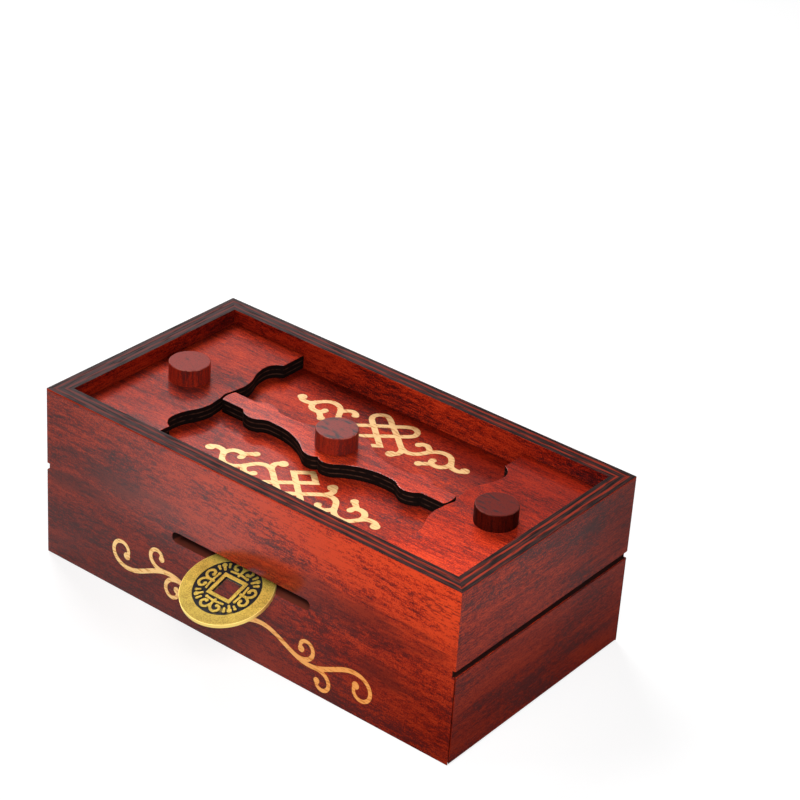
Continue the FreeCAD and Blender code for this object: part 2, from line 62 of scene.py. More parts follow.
Point = tuple[float, float]
Position = tuple[float, float, float]
Colour = tuple[float, float, float]
Spot = tuple[float, float, float, float]
EdgeTest = Callable[[Vector, Vector], bool]


class Body(Enum):
    """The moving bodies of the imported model."""

    BOX = "box"
    BAR = "turn_bar"
    LEFT_LID = "left_lid"
    RIGHT_LID = "right_lid"
    DRAWER = "drawer"
    COIN = "coin"


class Slot(Enum):
    """The record's material slots."""

    CASE = "case_wood"
    DECK = "deck_wood"
    PANEL = "panel_wood"
    KNOB = "knob_wood"
    BRASS = "brass"


class Grain(Enum):
    """Direction in which a board's grain runs."""

    LENGTH = (1.0, 0.0, 0.0)
    DEPTH = (0.0, 1.0, 0.0)
    UPRIGHT = (0.0, 0.0, 1.0)


def focus(piece: bpy.types.Object) -> None:
    """Select one object alone and make it active.

    Args:
        piece: The object.
    """
    bpy.ops.object.select_all(action="DESELECT")
    piece.select_set(True)
    bpy.context.view_layer.objects.active = piece


def apply_modifier(piece: bpy.types.Object, name: str) -> None:
    """Apply one modifier of a piece."""
    focus(piece)
    bpy.ops.object.modifier_apply(modifier=name)


def settle(piece: bpy.types.Object) -> None:
    """Put a piece's place, turn and scale into its mesh."""
    focus(piece)
    bpy.ops.object.transform_apply(location=True, rotation=True, scale=True)


def edit(piece: bpy.types.Object, *steps: Callable[[], object]) -> None:
    """Work on the whole mesh of a piece in edit mode.

    Args:
        piece: The piece.
        steps: What is done to it, in order.
    """
    focus(piece)
    bpy.ops.object.mode_set(mode="EDIT")
    bpy.ops.mesh.select_all(action="SELECT")
    for step in steps:
        step()
    bpy.ops.object.mode_set(mode="OBJECT")


def weld() -> None:
    """Merge the doubles of the mesh in edit mode and dissolve its needless edges."""
    bpy.ops.mesh.remove_doubles(threshold=WELD_REACH * MM)
    bpy.ops.mesh.dissolve_limited(angle_limit=math.radians(FLAT_ANGLE))


def face_outwards() -> None:
    """Turn the faces of the mesh in edit mode outwards."""
    bpy.ops.mesh.normals_make_consistent(inside=False)


def smooth(piece: bpy.types.Object, degrees: float = 30.0) -> None:
    """Shade a piece smooth, with its broad faces kept flat.

    Args:
        piece: The piece.
        degrees: Edges sharper than this stay crisp.
    """
    focus(piece)
    bpy.ops.object.shade_smooth_by_angle(angle=math.radians(degrees))
    level = piece.modifiers.new("level", "WEIGHTED_NORMAL")
    level.keep_sharp = True
    level.weight = 100
    apply_modifier(piece, level.name)


def dress(piece: bpy.types.Object, material: bpy.types.Material) -> None:
    """Give a piece one material all over."""
    piece.data.materials.clear()
    piece.data.materials.append(material)


def seat(piece: bpy.types.Object, body: Body, replaced: tuple[str, ...] = ()) -> None:
    """Let a piece ride a body and hide the nodes it stands for.

    Args:
        piece: The finished piece, with its place in its mesh.
        body: The body it moves with.
        replaced: CAD nodes that it stands for.
    """
    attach(piece, body.value)
    if replaced:
        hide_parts(*replaced)
    LOG.info("%s rides %s, %d faces", piece.name, body.value, len(piece.data.polygons))


def node_copy(node: str, name: str) -> bpy.types.Object:
    """Copy a CAD node as a new object whose flat faces are whole again.

    Args:
        node: The CAD node's name.
        name: The new piece's name.

    Returns:
        The copy, merged and free of needless edges.
    """
    piece = bpy.data.objects.new(name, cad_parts[node].data.copy())
    bpy.context.scene.collection.objects.link(piece)
    edit(piece, weld, face_outwards)
    return piece


def beyond(axis: int, level: float) -> EdgeTest:
    """Make a test of edges by how far out they lie.

    Args:
        axis: Number of the axis, RIGHT or UP.
        level: The level along that axis, in millimetres.

    Returns:
        A test that holds for an edge that lies at the level or past it.
    """
    def test(first: Vector, last: Vector) -> bool:
        """Tell whether both ends of an edge lie at the level or past it."""
        return min(first[axis], last[axis]) > level - NEAR

    return test


def ease_edges(piece: bpy.types.Object, width: float, chosen: EdgeTest | None = None,
               segments: int = 2) -> None:
    """Round a piece's sharp edges a little.

    Args:
        piece: The piece to ease.
        width: Width of the rounding, in millimetres.
        chosen: Test of an edge's two ends, in millimetres; all sharp edges where it is left out.
        segments: Faces across the rounding.
    """
    if chosen is not None:
        weights = piece.data.attributes.new("bevel_weight_edge", "FLOAT", "EDGE")
        for edge in piece.data.edges:
            ends = [piece.data.vertices[index].co / MM for index in edge.vertices]
            weights.data[edge.index].value = 1.0 if chosen(*ends) else 0.0
    bevel = piece.modifiers.new("eased", "BEVEL")
    bevel.width = width * MM
    bevel.segments = segments
    bevel.limit_method = "ANGLE" if chosen is None else "WEIGHT"
    bevel.angle_limit = math.radians(SHARP_ANGLE)
    bevel.use_clamp_overlap = True
    apply_modifier(piece, bevel.name)


def add_node(tree: bpy.types.NodeTree, kind: str, inputs: dict[str | int, object],
             **options: object) -> bpy.types.Node:
    """Add one shader node.

    Args:
        tree: The nodes it joins.
        kind: Its type, without the prefix.
        inputs: A constant or a socket for each input that is set, by name or number.
        options: Its options.

    Returns:
        The node.
    """
    node = tree.nodes.new(f"ShaderNode{kind}")
    for option, choice in options.items():
        setattr(node, option, choice)
    for key, value in inputs.items():
        if isinstance(value, bpy.types.NodeSocket):
            tree.links.new(value, node.inputs[key])
        else:
            node.inputs[key].default_value = value
    return node


@dataclass(frozen=True)
class Measure:
    """A value or a colour at each point of a surface, with the arithmetic of shader nodes."""

    board: "NodeBoard"
    socket: bpy.types.NodeSocket

    def __add__(self, other: "Value") -> "Measure":
        """Return the sum."""
        return self.board.math("ADD", self, other)

    def __sub__(self, other: "Value") -> "Measure":
        """Return the difference."""
        return self.board.math("SUBTRACT", self, other)

    def __rsub__(self, other: float) -> "Measure":
        """Return the difference from a number."""
        return self.board.math("SUBTRACT", other, self)

    def __mul__(self, other: "Value") -> "Measure":
        """Return the product; of two masks, where both lie."""
        return self.board.math("MULTIPLY", self, other)

    def __truediv__(self, other: "Value") -> "Measure":
        """Return the quotient."""
        return self.board.math("DIVIDE", self, other)

    def __abs__(self) -> "Measure":
        """Return the value without its sign."""
        return self.board.math("ABSOLUTE", self)

    def __or__(self, other: "Value") -> "Measure":
        """Return the greater value; of two masks, where either lies."""
        return self.board.math("MAXIMUM", self, other)

    def __and__(self, other: "Value") -> "Measure":
        """Return the lesser value."""
        return self.board.math("MINIMUM", self, other)

    def __invert__(self) -> "Measure":
        """Return the rest up to 1; of a mask, where it doesn't lie."""
        return 1.0 - self

    def above(self, bound: "Value") -> "Measure":
        """Return 1 where the value is greater than a bound."""
        return self.board.math("GREATER_THAN", self, bound)

    def below(self, bound: "Value") -> "Measure":
        """Return 1 where the value is less than a bound."""
        return self.board.math("LESS_THAN", self, bound)

    def root(self) -> "Measure":
        """Return the square root."""
        return self.board.math("SQRT", self)

    def pick(self, there: float, elsewhere: float) -> "Measure":
        """Return one number where a mask lies and another elsewhere."""
        return self * (there - elsewhere) + elsewhere

    def fade(self, low: float, high: float) -> "Measure":
        """Return a smooth step from 0 at low to 1 at high."""
        ends = {"Value": self, "From Min": low, "From Max": high}
        return self.board.add("MapRange", ends, "Result", interpolation_type="SMOOTHSTEP")

    def within(self, centre: float, half: float, soft: float) -> "Measure":
        """Return 1 where the value is within half of a centre, fading out over soft."""
        return ~abs(self - centre).fade(half - soft, half + soft)


Value = Measure | float
Paint = Measure | Colour
Place = tuple[Value, Value, Value]


def either(masks: Iterable[Measure]) -> Measure:
    """Return where any of several masks lies."""
    return reduce(or_, masks)


class NodeBoard:
    """A material's nodes, with short calls for those that the finishes share."""

    def __init__(self, name: str) -> None:
        """Start an empty material with one principled shader.

        Args:
            name: The material's name.
        """
        self.material = bpy.data.materials.new(name)
        self.material.use_nodes = True
        self.tree = self.material.node_tree
        self.tree.nodes.clear()
        self.shader = add_node(self.tree, "BsdfPrincipled", {})
        add_node(self.tree, "OutputMaterial", {"Surface": self.shader.outputs["BSDF"]})
        self.place = self.add("TexCoord", {}, "Object")

    def add(self, kind: str, inputs: dict[str | int, object], output: str | int = 0,
            **options: object) -> Measure:
        """Add one node.

        Args:
            kind: Its type, without the prefix.
            inputs: A constant or a measure for each input that is set, by name or number.
            output: The output that is returned, by name or number.
            options: Its options.

        Returns:
            What the node puts out.
        """
        fed = {key: value.socket if isinstance(value, Measure) else value for key, value in inputs.items()}
        return Measure(self, add_node(self.tree, kind, fed, **options).outputs[output])

    def math(self, operation: str, first: Value, second: Value = 0.0) -> Measure:
        """Return the result of an operation."""
        return self.add("Math", {0: first, 1: second}, operation=operation)

    def split(self, vector: Measure) -> tuple[Measure, Measure, Measure]:
        """Return the three parts of a vector."""
        node = add_node(self.tree, "SeparateXYZ", {0: vector.socket})
        return tuple(Measure(self, output) for output in node.outputs)

    def join(self, x: Value, y: Value, z: Value) -> Measure:
        """Return a vector from three parts."""
        return self.add("CombineXYZ", {0: x, 1: y, 2: z})

    def tilted(self, centre: Position, tilt: float) -> Measure:
        """Return the place measured from a centre, in axes tilted about the length by degrees."""
        inputs = {"Vector": self.place, "Location": centre, "Rotation": (math.radians(tilt), 0.0, 0.0)}
        return self.add("Mapping", inputs, vector_type="TEXTURE")

    def mix(self, factor: Value, first: Paint, second: Paint, blend: str = "MIX") -> Measure:
        """Mix two colours.

        Args:
            factor: Share of the second colour.
            first: The first colour.
            second: The second colour.
            blend: How they are mixed.

        Returns:
            The mixed colour.
        """
        first, second = (part if isinstance(part, Measure) else (*part, 1.0) for part in (first, second))
        inputs = {MIX_FACTOR: factor, MIX_FIRST: first, MIX_SECOND: second}
        return self.add("Mix", inputs, MIX_RESULT, data_type="RGBA", blend_type=blend, clamp_factor=True)

    def noise(self, vector: Measure, scale: float, detail: float, roughness: float = 0.55) -> Measure:
        """Return a noise value over a vector."""
        inputs = {"Vector": vector, "Scale": scale, "Detail": detail, "Roughness": roughness}
        return self.add("TexNoise", inputs, "Fac")

    def ramp(self, factor: Measure, stops: Iterable[tuple[float, Colour]]) -> Measure:
        """Turn a value into a colour.

        Args:
            factor: The value.
            stops: Values and their colours, in rising order.

        Returns:
            The colour.
        """
        node = add_node(self.tree, "ValToRGB", {"Fac": factor.socket})
        elements = node.color_ramp.elements
        for index, (position, colour) in enumerate(stops):
            element = elements[index] if index < len(elements) else elements.new(1.0)
            element.position = position
            element.color = (*colour, 1.0)
        return Measure(self, node.outputs["Color"])

    def facing_up(self) -> Measure:
        """Return how far the surface faces up or down, from 0 to 1."""
        return abs(self.split(self.add("NewGeometry", {}, "True Normal"))[2])

    def bump(self, height: Measure, distance: float, strength: float) -> None:
        """Let a height value roughen the surface by a distance in millimetres."""
        inputs = {"Distance": distance * MM, "Strength": strength, "Height": height}
        self.tree.links.new(self.add("Bump", inputs, "Normal").socket, self.shader.inputs["Normal"])

    def finish(self, **inputs: Value) -> bpy.types.Material:
        """Set the shader's inputs.

        Args:
            inputs: What each input gets, by its name in small letters.

        Returns:
            The finished material.
        """
        for name, value in inputs.items():
            socket = self.shader.inputs[name.replace("_", " ").title().replace("Ior", "IOR")]
            if isinstance(value, Measure):
                self.tree.links.new(value.socket, socket)
            else:
                socket.default_value = value
        return self.material


@dataclass(frozen=True)
class Varnish:
    """Gloss of a varnished surface."""

    roughness: float = 0.50
    specular: float = 0.02
    coat: float = 0.22
    coat_roughness: float = 0.16

    def over(self, board: NodeBoard, colour: Measure, roughness: Value, coat: Value) -> bpy.types.Material:
        """Return the material of a coloured surface under a weight of this varnish."""
        return board.finish(base_color=colour, roughness=roughness, specular_ior_level=self.specular,
                            coat_weight=coat, coat_roughness=self.coat_roughness)


@dataclass(frozen=True)
class Stain:
    """Colours of the red stain, from the darkest streak to the clearest red, and of its dusky patches."""

    streak: Colour = (0.060, 0.009, 0.007)
    deep: Colour = (0.170, 0.011, 0.005)
    body: Colour = (0.350, 0.021, 0.006)
    clear: Colour = (0.520, 0.042, 0.009)
    dusk: Colour = (0.060, 0.018, 0.019)

    def scaled(self, share: float) -> "Stain":
        """Return the same stain at a share of its brightness, which makes the knobs and cut pieces lit and
        shaded copies as painted light.
        """
        return Stain(*(tuple(part * share for part in colour) for colour in astuple(self)))


@dataclass(frozen=True)
class Figure:
    """Noise drawn out along the grain."""

    along: float
    across: float
    detail: float
    roughness: float = 0.55

    def lay(self, board: NodeBoard, place: Place) -> Measure:
        """Return the noise at a place measured along the grain, across it and through it."""
        spot = board.join(place[0] * self.along, place[1] * self.across, place[2] * self.across)
        return board.noise(spot, 1.0, self.detail, self.roughness)


@dataclass(frozen=True)
class Veneer:
    """Red-stained veneer, finely flecked along its grain, under varnish."""

    stain: Stain = Stain()
    varnish: Varnish = Varnish()
    flecks: Figure = Figure(430.0, 1800.0, 4.0, 0.68)
    streaks: Figure = Figure(36.0, 520.0, 4.0, 0.62)
    patches: Figure = Figure(30.0, 90.0, 4.0, 0.60)
    greys: Figure = Figure(24.0, 62.0, 5.0, 0.62)
    pores: Figure = Figure(70.0, 2600.0, 2.0, 0.50)
    speck_scale: float = 2300.0
    tone_shares: tuple[float, ...] = (0.36, 0.32, 0.22, 0.27)
    stain_steps: tuple[float, ...] = (0.41, 0.46, 0.51, 0.58)
    painted_light_gain: float = 0.065
    # Gain of the painted light that clears the stain where the front should look brightly lit.
    grey_range: Point = (0.49, 0.64)
    grey_tones: Point = (0.57, 0.44)
    dusk_share: float = 0.80
    fleck_patches: float = 0.35
    fleck_range: Point = (0.465, 0.385)
    fleck_share: float = 0.58
    pore_range: Point = (0.64, 0.74)
    pore_share: float = 0.70
    contrast: float = 1.0

    def wood(self, board: NodeBoard, place: Place,
             painted_light: Measure | None = None) -> tuple[Measure, Measure]:
        """Lay out the wood's figure.

        Args:
            board: The material's nodes.
            place: The place along the grain, across it and through it.
            painted_light: Where the stain is painted clearer as painted light, from 0 to 1; nowhere if left
                out.

        Returns:
            The wood's colour and the height of its grain.
        """
        flecks = self.flecks.lay(board, place)
        specks = board.noise(board.place, self.speck_scale, 2.0, 0.6)
        streaks = self.streaks.lay(board, place)
        patches = self.patches.lay(board, place)
        tone = 0.5 - 0.5 * self.contrast * sum(self.tone_shares)
        for noise, share in zip((flecks, specks, streaks, patches), self.tone_shares):
            tone = noise * (share * self.contrast) + tone
        # Painted light: the stain is cleared where light should fall brightly.
        if painted_light is not None:
            tone = painted_light * self.painted_light_gain + tone
        stain = self.stain
        colour = board.ramp(tone, zip(self.stain_steps, (stain.streak, stain.deep, stain.body, stain.clear)))
        grey = self.greys.lay(board, place).fade(*self.grey_range) * tone.fade(*self.grey_tones)
        colour = board.mix(grey * self.dusk_share, colour, stain.dusk)
        gathered = patches * self.fleck_patches + flecks * (1.0 - self.fleck_patches)
        colour = board.mix(gathered.fade(*self.fleck_range) * self.fleck_share, colour, stain.streak)
        pores = self.pores.lay(board, place).fade(*self.pore_range)
        colour = board.mix(pores * self.pore_share, colour, stain.streak)
        return colour, streaks + flecks


BOARD_VENEER = Veneer(flecks=Figure(440.0, 1750.0, 4.0, 0.68), fleck_share=0.24, contrast=0.72)


@dataclass(frozen=True)
class BurntEdge:
    """Edge of laser-cut ply: charred black, with the plies as faint brown lines."""

    char: Colour = (0.0075, 0.0045, 0.0040)
    ply: Colour = (0.070, 0.031, 0.021)
    line_half: float = 0.16
    line_soft: float = 0.14

    def colour(self, board: NodeBoard, depth: Measure, lines: tuple[float, ...]) -> Measure:
        """Colour the edge.

        Args:
            board: The material's nodes.
            depth: Depth below the piece's face.
            lines: Depths of the ply lines, in millimetres.

        Returns:
            The edge's colour.
        """
        shown = either(depth.within(line * MM, self.line_half * MM, self.line_soft * MM) for line in lines)
        wear = board.noise(board.place, 420.0, 3.0).fade(0.32, 0.62)
        return board.mix(shown * wear, self.char, self.ply)


class CasePlace:
    """Where a point of the case lies: on which wall, how deep in it and how far along it."""

    def __init__(self, board: NodeBoard, case: "CaseFinish") -> None:
        """Measure the point from the faces of the case.

        Args:
            board: The material's nodes.
            case: The finish that holds the sizes of the case.
        """
        self.x, self.y, self.z = board.split(board.place)
        from_end = case.half_length - abs(self.x)
        from_side = case.half_depth - abs(self.y)
        self.inset = from_end & from_side
        self.on_end = from_end.below(from_side)
        on_side = ~self.on_end
        self.along = self.x * on_side + self.y * self.on_end
        self.across = self.y * on_side + self.x * self.on_end
        self.front = self.y.below(0.6 * case.wall - case.half_depth) * on_side
        self.facing = board.facing_up()


@dataclass(frozen=True)
class CaseFinish:
    """Finish of the case: veneer that follows each wall, ply lines on the rim, dark groove and slot, with
    painted light and shade on the walls.
    """

    half_length: float
    half_depth: float
    height: float
    wall: float
    groove_level: float
    groove_half: float
    slot_level: float
    slot_half: Point
    veneer: Veneer = Veneer(Stain(
        streak=(0.075, 0.010, 0.008), deep=(0.230, 0.014, 0.007), body=(0.470, 0.029, 0.008),
        clear=(0.720, 0.060, 0.014), dusk=(0.080, 0.020, 0.020),
    ))
    ragged: Figure = Figure(90.0, 420.0, 5.0, 0.65)
    # Painted light: spots on the front where the stain is painted clearer, standing in for light that falls
    # brightly there.
    painted_light_spots: tuple[Spot, ...] = ((4.0, 53.0, 26.0, 9.0), (76.0, 50.0, 12.0, 12.0))
    painted_light_strength: float = 1.6
    clouds: tuple[Spot, ...] = (
        (40.0, 34.5, 42.0, 7.5), (-50.0, 38.0, 24.0, 6.0), (-66.0, 30.0, 18.0, 3.5), (55.0, 19.0, 14.0, 5.0),
    )
    cloud_share: float = 0.62
    # Painted shade: the walls are darkened towards their foot, where less light reaches.
    foot: Colour = (0.100, 0.004, 0.002)
    foot_shade: float = 0.55
    # Painted shade inside the walls: the tint it multiplies by, and its share in the middle of the back wall
    # and elsewhere.
    painted_inner_shade_tint: Colour = (0.22, 0.00, 0.15)
    inner_shade: Point = (0.224, 0.56)
    # Share of the painted shade far back and high on the ends, which also thins the varnish there.
    far_shade: float = 0.40
    # Wear and a painted highlight along the rim's outer arris.
    worn_edge_and_highlight: Colour = (0.620, 0.042, 0.012)
    worn_and_highlight_share: float = 0.80
    slot_edge: BurntEdge = BurntEdge(char=(0.034, 0.011, 0.009))
    slot_plies: tuple[float, ...] = (2.2, 4.8)
    # Painted light on the slot's floor near its mouth.
    painted_slot_lip_light: Colour = (0.170, 0.036, 0.022)
    bare_roughness: float = 0.72
    varnish_base: Point = (0.50, 0.58)
    varnish_gain: float = 0.50
    varnish_kept: Point = (0.16, 0.46)
    rim_wander: Figure = Figure(60.0, 300.0, 3.0)
    rim_fibres: Figure = Figure(110.0, 1500.0, 3.0)
    rim_plies: tuple[Point, ...] = ((0.27, 0.35), (0.66, 0.73))
    rim_blur: float = 0.05
    rim_char: Colour = (0.009, 0.006, 0.006)
    rim_dark: Colour = (0.032, 0.019, 0.018)
    rim_red: Colour = (0.290, 0.033, 0.018)
    # Grey of the painted sheen on the rim towards the left, and its share where the fibres are dark and
    # elsewhere.
    rim_painted_sheen: Colour = (0.100, 0.079, 0.080)
    painted_sheen_share: Point = (0.26, 0.60)

    def material(self, name: str) -> bpy.types.Material:
        """Put the finish together.

        Args:
            name: The material's name.

        Returns:
            The case's material.
        """
        board = NodeBoard(name)
        spot = CasePlace(board, self)
        # Painted shade far back and high on the ends; it also takes the varnish off there.
        far = spot.y.fade(0.1 * self.half_depth, self.half_depth)
        far = far * spot.z.fade(0.4 * self.height, 0.7 * self.height) * spot.on_end * self.far_shade
        inner = spot.inset.above(self.wall - 0.1 * MM)
        top = spot.facing.fade(0.75, 0.90) * spot.z.above(self.height - 0.6 * MM)
        arris = spot.z.fade(self.height - 0.55 * MM, self.height - 0.25 * MM) * spot.inset.below(0.5 * MM)
        wood, grain = self.stained(board, spot)
        wood = self.shaded(board, spot, wood, far, inner)
        # The outer arris is lightened by wear and a painted highlight.
        wood = board.mix(arris * self.worn_and_highlight_share, wood, self.worn_edge_and_highlight)
        colour = board.mix(top, wood, self.rim_colour(board, spot))
        burnt, cut = self.cuts(board, spot)
        colour = board.mix(burnt, colour, cut)
        board.bump(grain, 0.05, 0.25)
        varnish = self.veneer.varnish
        bare = top | burnt
        rough = bare.pick(self.bare_roughness, varnish.roughness)
        # No varnish on the rim, cuts, arris and inside; thinned where the painted shade lies far back on the
        # ends.
        coat = self.gloss(spot) * ~(bare | arris | inner) * ~far
        return varnish.over(board, colour, rough, coat)

    def stained(self, board: NodeBoard, spot: CasePlace) -> tuple[Measure, Measure]:
        """Stain the veneer, with painted light that clears the front towards its upper right, and darken it
        in broad patches lower down.

        Args:
            board: The material's nodes.
            spot: Where the point lies.

        Returns:
            The wood's colour and the height of its grain.
        """
        # Painted light: the front is painted clearer towards its upper right and in the painted light spots.
        painted_light = spot.x.fade(-0.9 * self.half_length, 0.6 * self.half_length)
        painted_light = painted_light * spot.z.fade(0.25 * self.height, self.height)
        painted_light = painted_light | self.spread(board, spot, self.painted_light_spots) * self.painted_light_strength
        wood, grain = self.veneer.wood(board, (spot.along, spot.across, spot.z), painted_light * spot.front)
        clouded = self.spread(board, spot, self.clouds) * (spot.front * self.cloud_share)
        return board.mix(clouded, wood, self.veneer.stain.streak), grain

    def shaded(self, board: NodeBoard, spot: CasePlace, wood: Measure, far: Measure,
               inner: Measure) -> Measure:
        """Paint shade on the wood: darker at the foot, far back and up on the ends, and inside the walls,
        less so in the middle of the back wall.

        Args:
            board: The material's nodes.
            spot: Where the point lies.
            wood: The wood's colour.
            far: How far back and up on an end it lies, which sets the painted shade there.
            inner: 1 on the inside of the walls.

        Returns:
            The shaded colour.
        """
        # Painted shade, darker towards the foot.
        wood = board.mix(~spot.z.fade(0.0, self.height) * self.foot_shade, wood, self.foot)
        # Painted shade far back on the ends.
        wood = board.mix(far, wood, self.veneer.stain.streak)
        # Painted shade inside the walls, lighter in the middle of the back wall.
        middle = spot.x.within(0.05 * self.half_length, 30.0 * MM, 25.0 * MM)
        return board.mix(inner * middle.pick(*self.inner_shade), wood, self.painted_inner_shade_tint, "MULTIPLY")

    def cuts(self, board: NodeBoard, spot: CasePlace) -> tuple[Measure, Measure]:
        """Burn the groove round the case and the coin's slot, with painted light on the slot's floor near its
        mouth.

        Args:
            board: The material's nodes.
            spot: Where the point lies.

        Returns:
            Where the wood is burnt, and its colour there.
        """
        inside = spot.inset.above(0.04 * MM)
        level = spot.facing.fade(0.5, 0.8)
        hollow = spot.inset.above(0.35 * MM) | inside * ~level
        groove = spot.z.within(self.groove_level, self.groove_half, 0.05 * MM) * hollow
        slot = spot.x.within(0.0, self.slot_half[0], 0.02 * MM)
        slot = slot * spot.z.within(self.slot_level, self.slot_half[1], 0.02 * MM) * inside
        # Painted light: the slot's floor is lighter near its mouth, fading into the char deeper in.
        painted_lip_light = spot.z.below(self.slot_level) * level * (slot * spot.inset.fade(5.0 * MM, 0.5 * MM))
        cut = board.mix(painted_lip_light, self.slot_edge.colour(board, spot.inset, self.slot_plies), self.painted_slot_lip_light)
        return groove | slot, cut

    def spread(self, board: NodeBoard, spot: CasePlace, spots: tuple[Spot, ...]) -> Measure:
        """Spread broad spots over the front, ragged along the grain.

        Args:
            board: The material's nodes.
            spot: Where the point lies.
            spots: Each spot's centre and half its width and height, in millimetres.

        Returns:
            A value from 0 outside the spots to 1 inside them.
        """
        ragged = self.ragged.lay(board, (spot.x, 0.0, spot.z)) * 2.4 - 1.2
        shown = []
        for centre_x, centre_z, half_x, half_z in spots:
            across = spot.x * (1.0 / (half_x * MM)) - centre_x / half_x
            up = spot.z * (1.0 / (half_z * MM)) - centre_z / half_z
            reach = (across * across + up * up).root()
            shown.append((reach + ragged).fade(1.25, 0.25))
        return either(shown)

    def gloss(self, spot: CasePlace) -> Measure:
        """Weigh the varnish, which is full left of the middle and rubbed thin at the right.

        Args:
            spot: Where the point lies.

        Returns:
            The varnish's weight, from 0 to 1.
        """
        kept = spot.z.fade(0.0, self.height) * spot.front.pick(*self.varnish_kept)
        thin = spot.x.fade(-0.2 * self.half_length, 0.95 * self.half_length) * ~kept
        middle = spot.x.within(-0.19 * self.half_length, 34.0 * MM, 28.0 * MM)
        middle = middle * spot.z.fade(0.35 * self.height, 0.65 * self.height)
        full = middle * self.varnish_gain + spot.front.pick(*self.varnish_base)
        return (full & 1.0) * ~thin

    def rim_colour(self, board: NodeBoard, spot: CasePlace) -> Measure:
        """Colour the rim's ply lines, which run round the case parallel to its walls.

        Args:
            board: The material's nodes.
            spot: Where the point lies.

        Returns:
            The rim's colour, greyed towards the left by painted sheen.
        """
        place = (spot.along, spot.across, 0.0)
        wander = self.rim_wander.lay(board, place) * (0.7 * MM) - 0.35 * MM
        stops = [(0.0, self.rim_dark)]
        for start, end in self.rim_plies:
            stops += [(start - self.rim_blur, self.rim_dark), (start, self.rim_red)]
            stops += [(end, self.rim_red), (end + self.rim_blur, self.rim_dark)]
        plies = board.ramp((spot.inset + wander) / self.wall, [*stops, (1.0, self.rim_dark)])
        fibres = self.rim_fibres.lay(board, place)
        plies = board.mix(fibres.fade(0.52, 0.68) * 0.32, plies, self.rim_red)
        dark = fibres.fade(0.52, 0.36)
        plies = board.mix(dark * 0.85, plies, self.rim_char)
        # Painted sheen: the rim greys towards the left end.
        painted_sheen = spot.x.fade(0.6 * self.half_length, -self.half_length)
        return board.mix(painted_sheen * dark.pick(*self.painted_sheen_share), plies, self.rim_painted_sheen)


@dataclass(frozen=True)
class CutPlyFinish:
    """Finish of a laser-cut ply piece: veneer on its faces, charred edges, and painted shade towards the back
    wall where it is given.
    """

    underside: float
    veneer: Veneer
    edge: BurntEdge = BurntEdge()
    lines: tuple[float, ...] = (1.55, 3.2)
    edge_roughness: float = 0.62
    # Painted shade towards the back wall: where it starts and is full along the depth, where it begins to
    # reach further forward towards the right, how steeply, and the tint it multiplies by.
    painted_wall_shade: Point | None = None
    painted_wall_shade_start: float = 15.0
    painted_wall_shade_spread: float = 0.0
    painted_wall_shade_tint: Colour = (0.42, 0.30, 0.28)

    def material(self, name: str) -> bpy.types.Material:
        """Put the finish together.

        Args:
            name: The material's name.

        Returns:
            The piece's material.
        """
        board = NodeBoard(name)
        x, y, z = board.split(board.place)
        wood, grain = self.veneer.wood(board, (x, y, z))
        # Painted shade darkens the wood towards the back wall, reaching further forward towards the right.
        if self.painted_wall_shade is not None:
            reach = ((x - self.painted_wall_shade_start * MM) | 0.0) * self.painted_wall_shade_spread + y
            wood = board.mix(reach.fade(*self.painted_wall_shade), wood, self.painted_wall_shade_tint, "MULTIPLY")
        face = board.facing_up().fade(0.35, 0.6)
        colour = board.mix(face, self.edge.colour(board, z - self.underside, self.lines), wood)
        board.bump(grain, 0.05, 0.25)
        varnish = self.veneer.varnish
        rough = face.pick(varnish.roughness, self.edge_roughness)
        return varnish.over(board, colour, rough, face * varnish.coat)


@dataclass(frozen=True)
class DowelFinish:
    """Finish of a knob: dowel with upright grain on its side and end grain on its top."""

    veneer: Veneer = Veneer(
        stain=Stain(
            streak=(0.070, 0.010, 0.008), deep=(0.130, 0.010, 0.006), body=(0.230, 0.015, 0.006),
            clear=(0.310, 0.022, 0.009),
        ),
        varnish=Varnish(roughness=0.46, coat=0.05, coat_roughness=0.25),
        flecks=Figure(160.0, 1300.0, 4.0, 0.68),
        fleck_share=0.40,
        dusk_share=0.45,
        contrast=0.80,
    )
    end_grain: Colour = (0.210, 0.024, 0.017)
    end_dark: Colour = (0.040, 0.017, 0.018)
    worn: Colour = (0.420, 0.110, 0.080)

    def material(self, name: str, depth: float, smudged: float, sheen: float) -> bpy.types.Material:
        """Put one knob's finish together.

        Args:
            name: The material's name.
            depth: Share of the stain's brightness that shows: painted light and shade, which makes the knobs
                lit and shaded copies of one finish.
            smudged: Share of its top that is smudged dark.
            sheen: Strength of its soft reflection.

        Returns:
            The knob's material.
        """
        board = NodeBoard(name)
        x, y, z = board.split(board.place)
        wood, grain = replace(self.veneer, stain=self.veneer.stain.scaled(depth)).wood(board, (z, x, y))
        pores = board.noise(board.place, 2400.0, 2.0)
        smudge = board.noise(board.join(x, y * 3.0, z), 170.0, 4.0, 0.6)
        # The end grain is lit and shaded by the knob's painted light share.
        light = tuple(part * (0.55 + 0.45 * depth) for part in self.end_grain)
        end = board.mix(smudge.fade(0.66 - 0.24 * smudged, 0.80 - 0.24 * smudged), light, self.end_dark)
        end = board.mix(pores.fade(0.5, 0.72) * 0.6, end, self.end_dark)
        up = board.facing_up()
        colour = board.mix(up.fade(0.6, 0.95), wood, end)
        arris = up.fade(0.25, 0.6) * up.fade(0.995, 0.93)
        scuffs = board.noise(board.place, 330.0, 2.0).fade(0.42, 0.62)
        # Worn ring on the top's edge, scaled by the knob's painted light share.
        colour = board.mix(arris * (scuffs * depth), colour, self.worn)
        board.bump(grain + pores, 0.05, 0.3)
        varnish = replace(self.veneer.varnish, specular=sheen)
        return varnish.over(board, colour, varnish.roughness, varnish.coat)


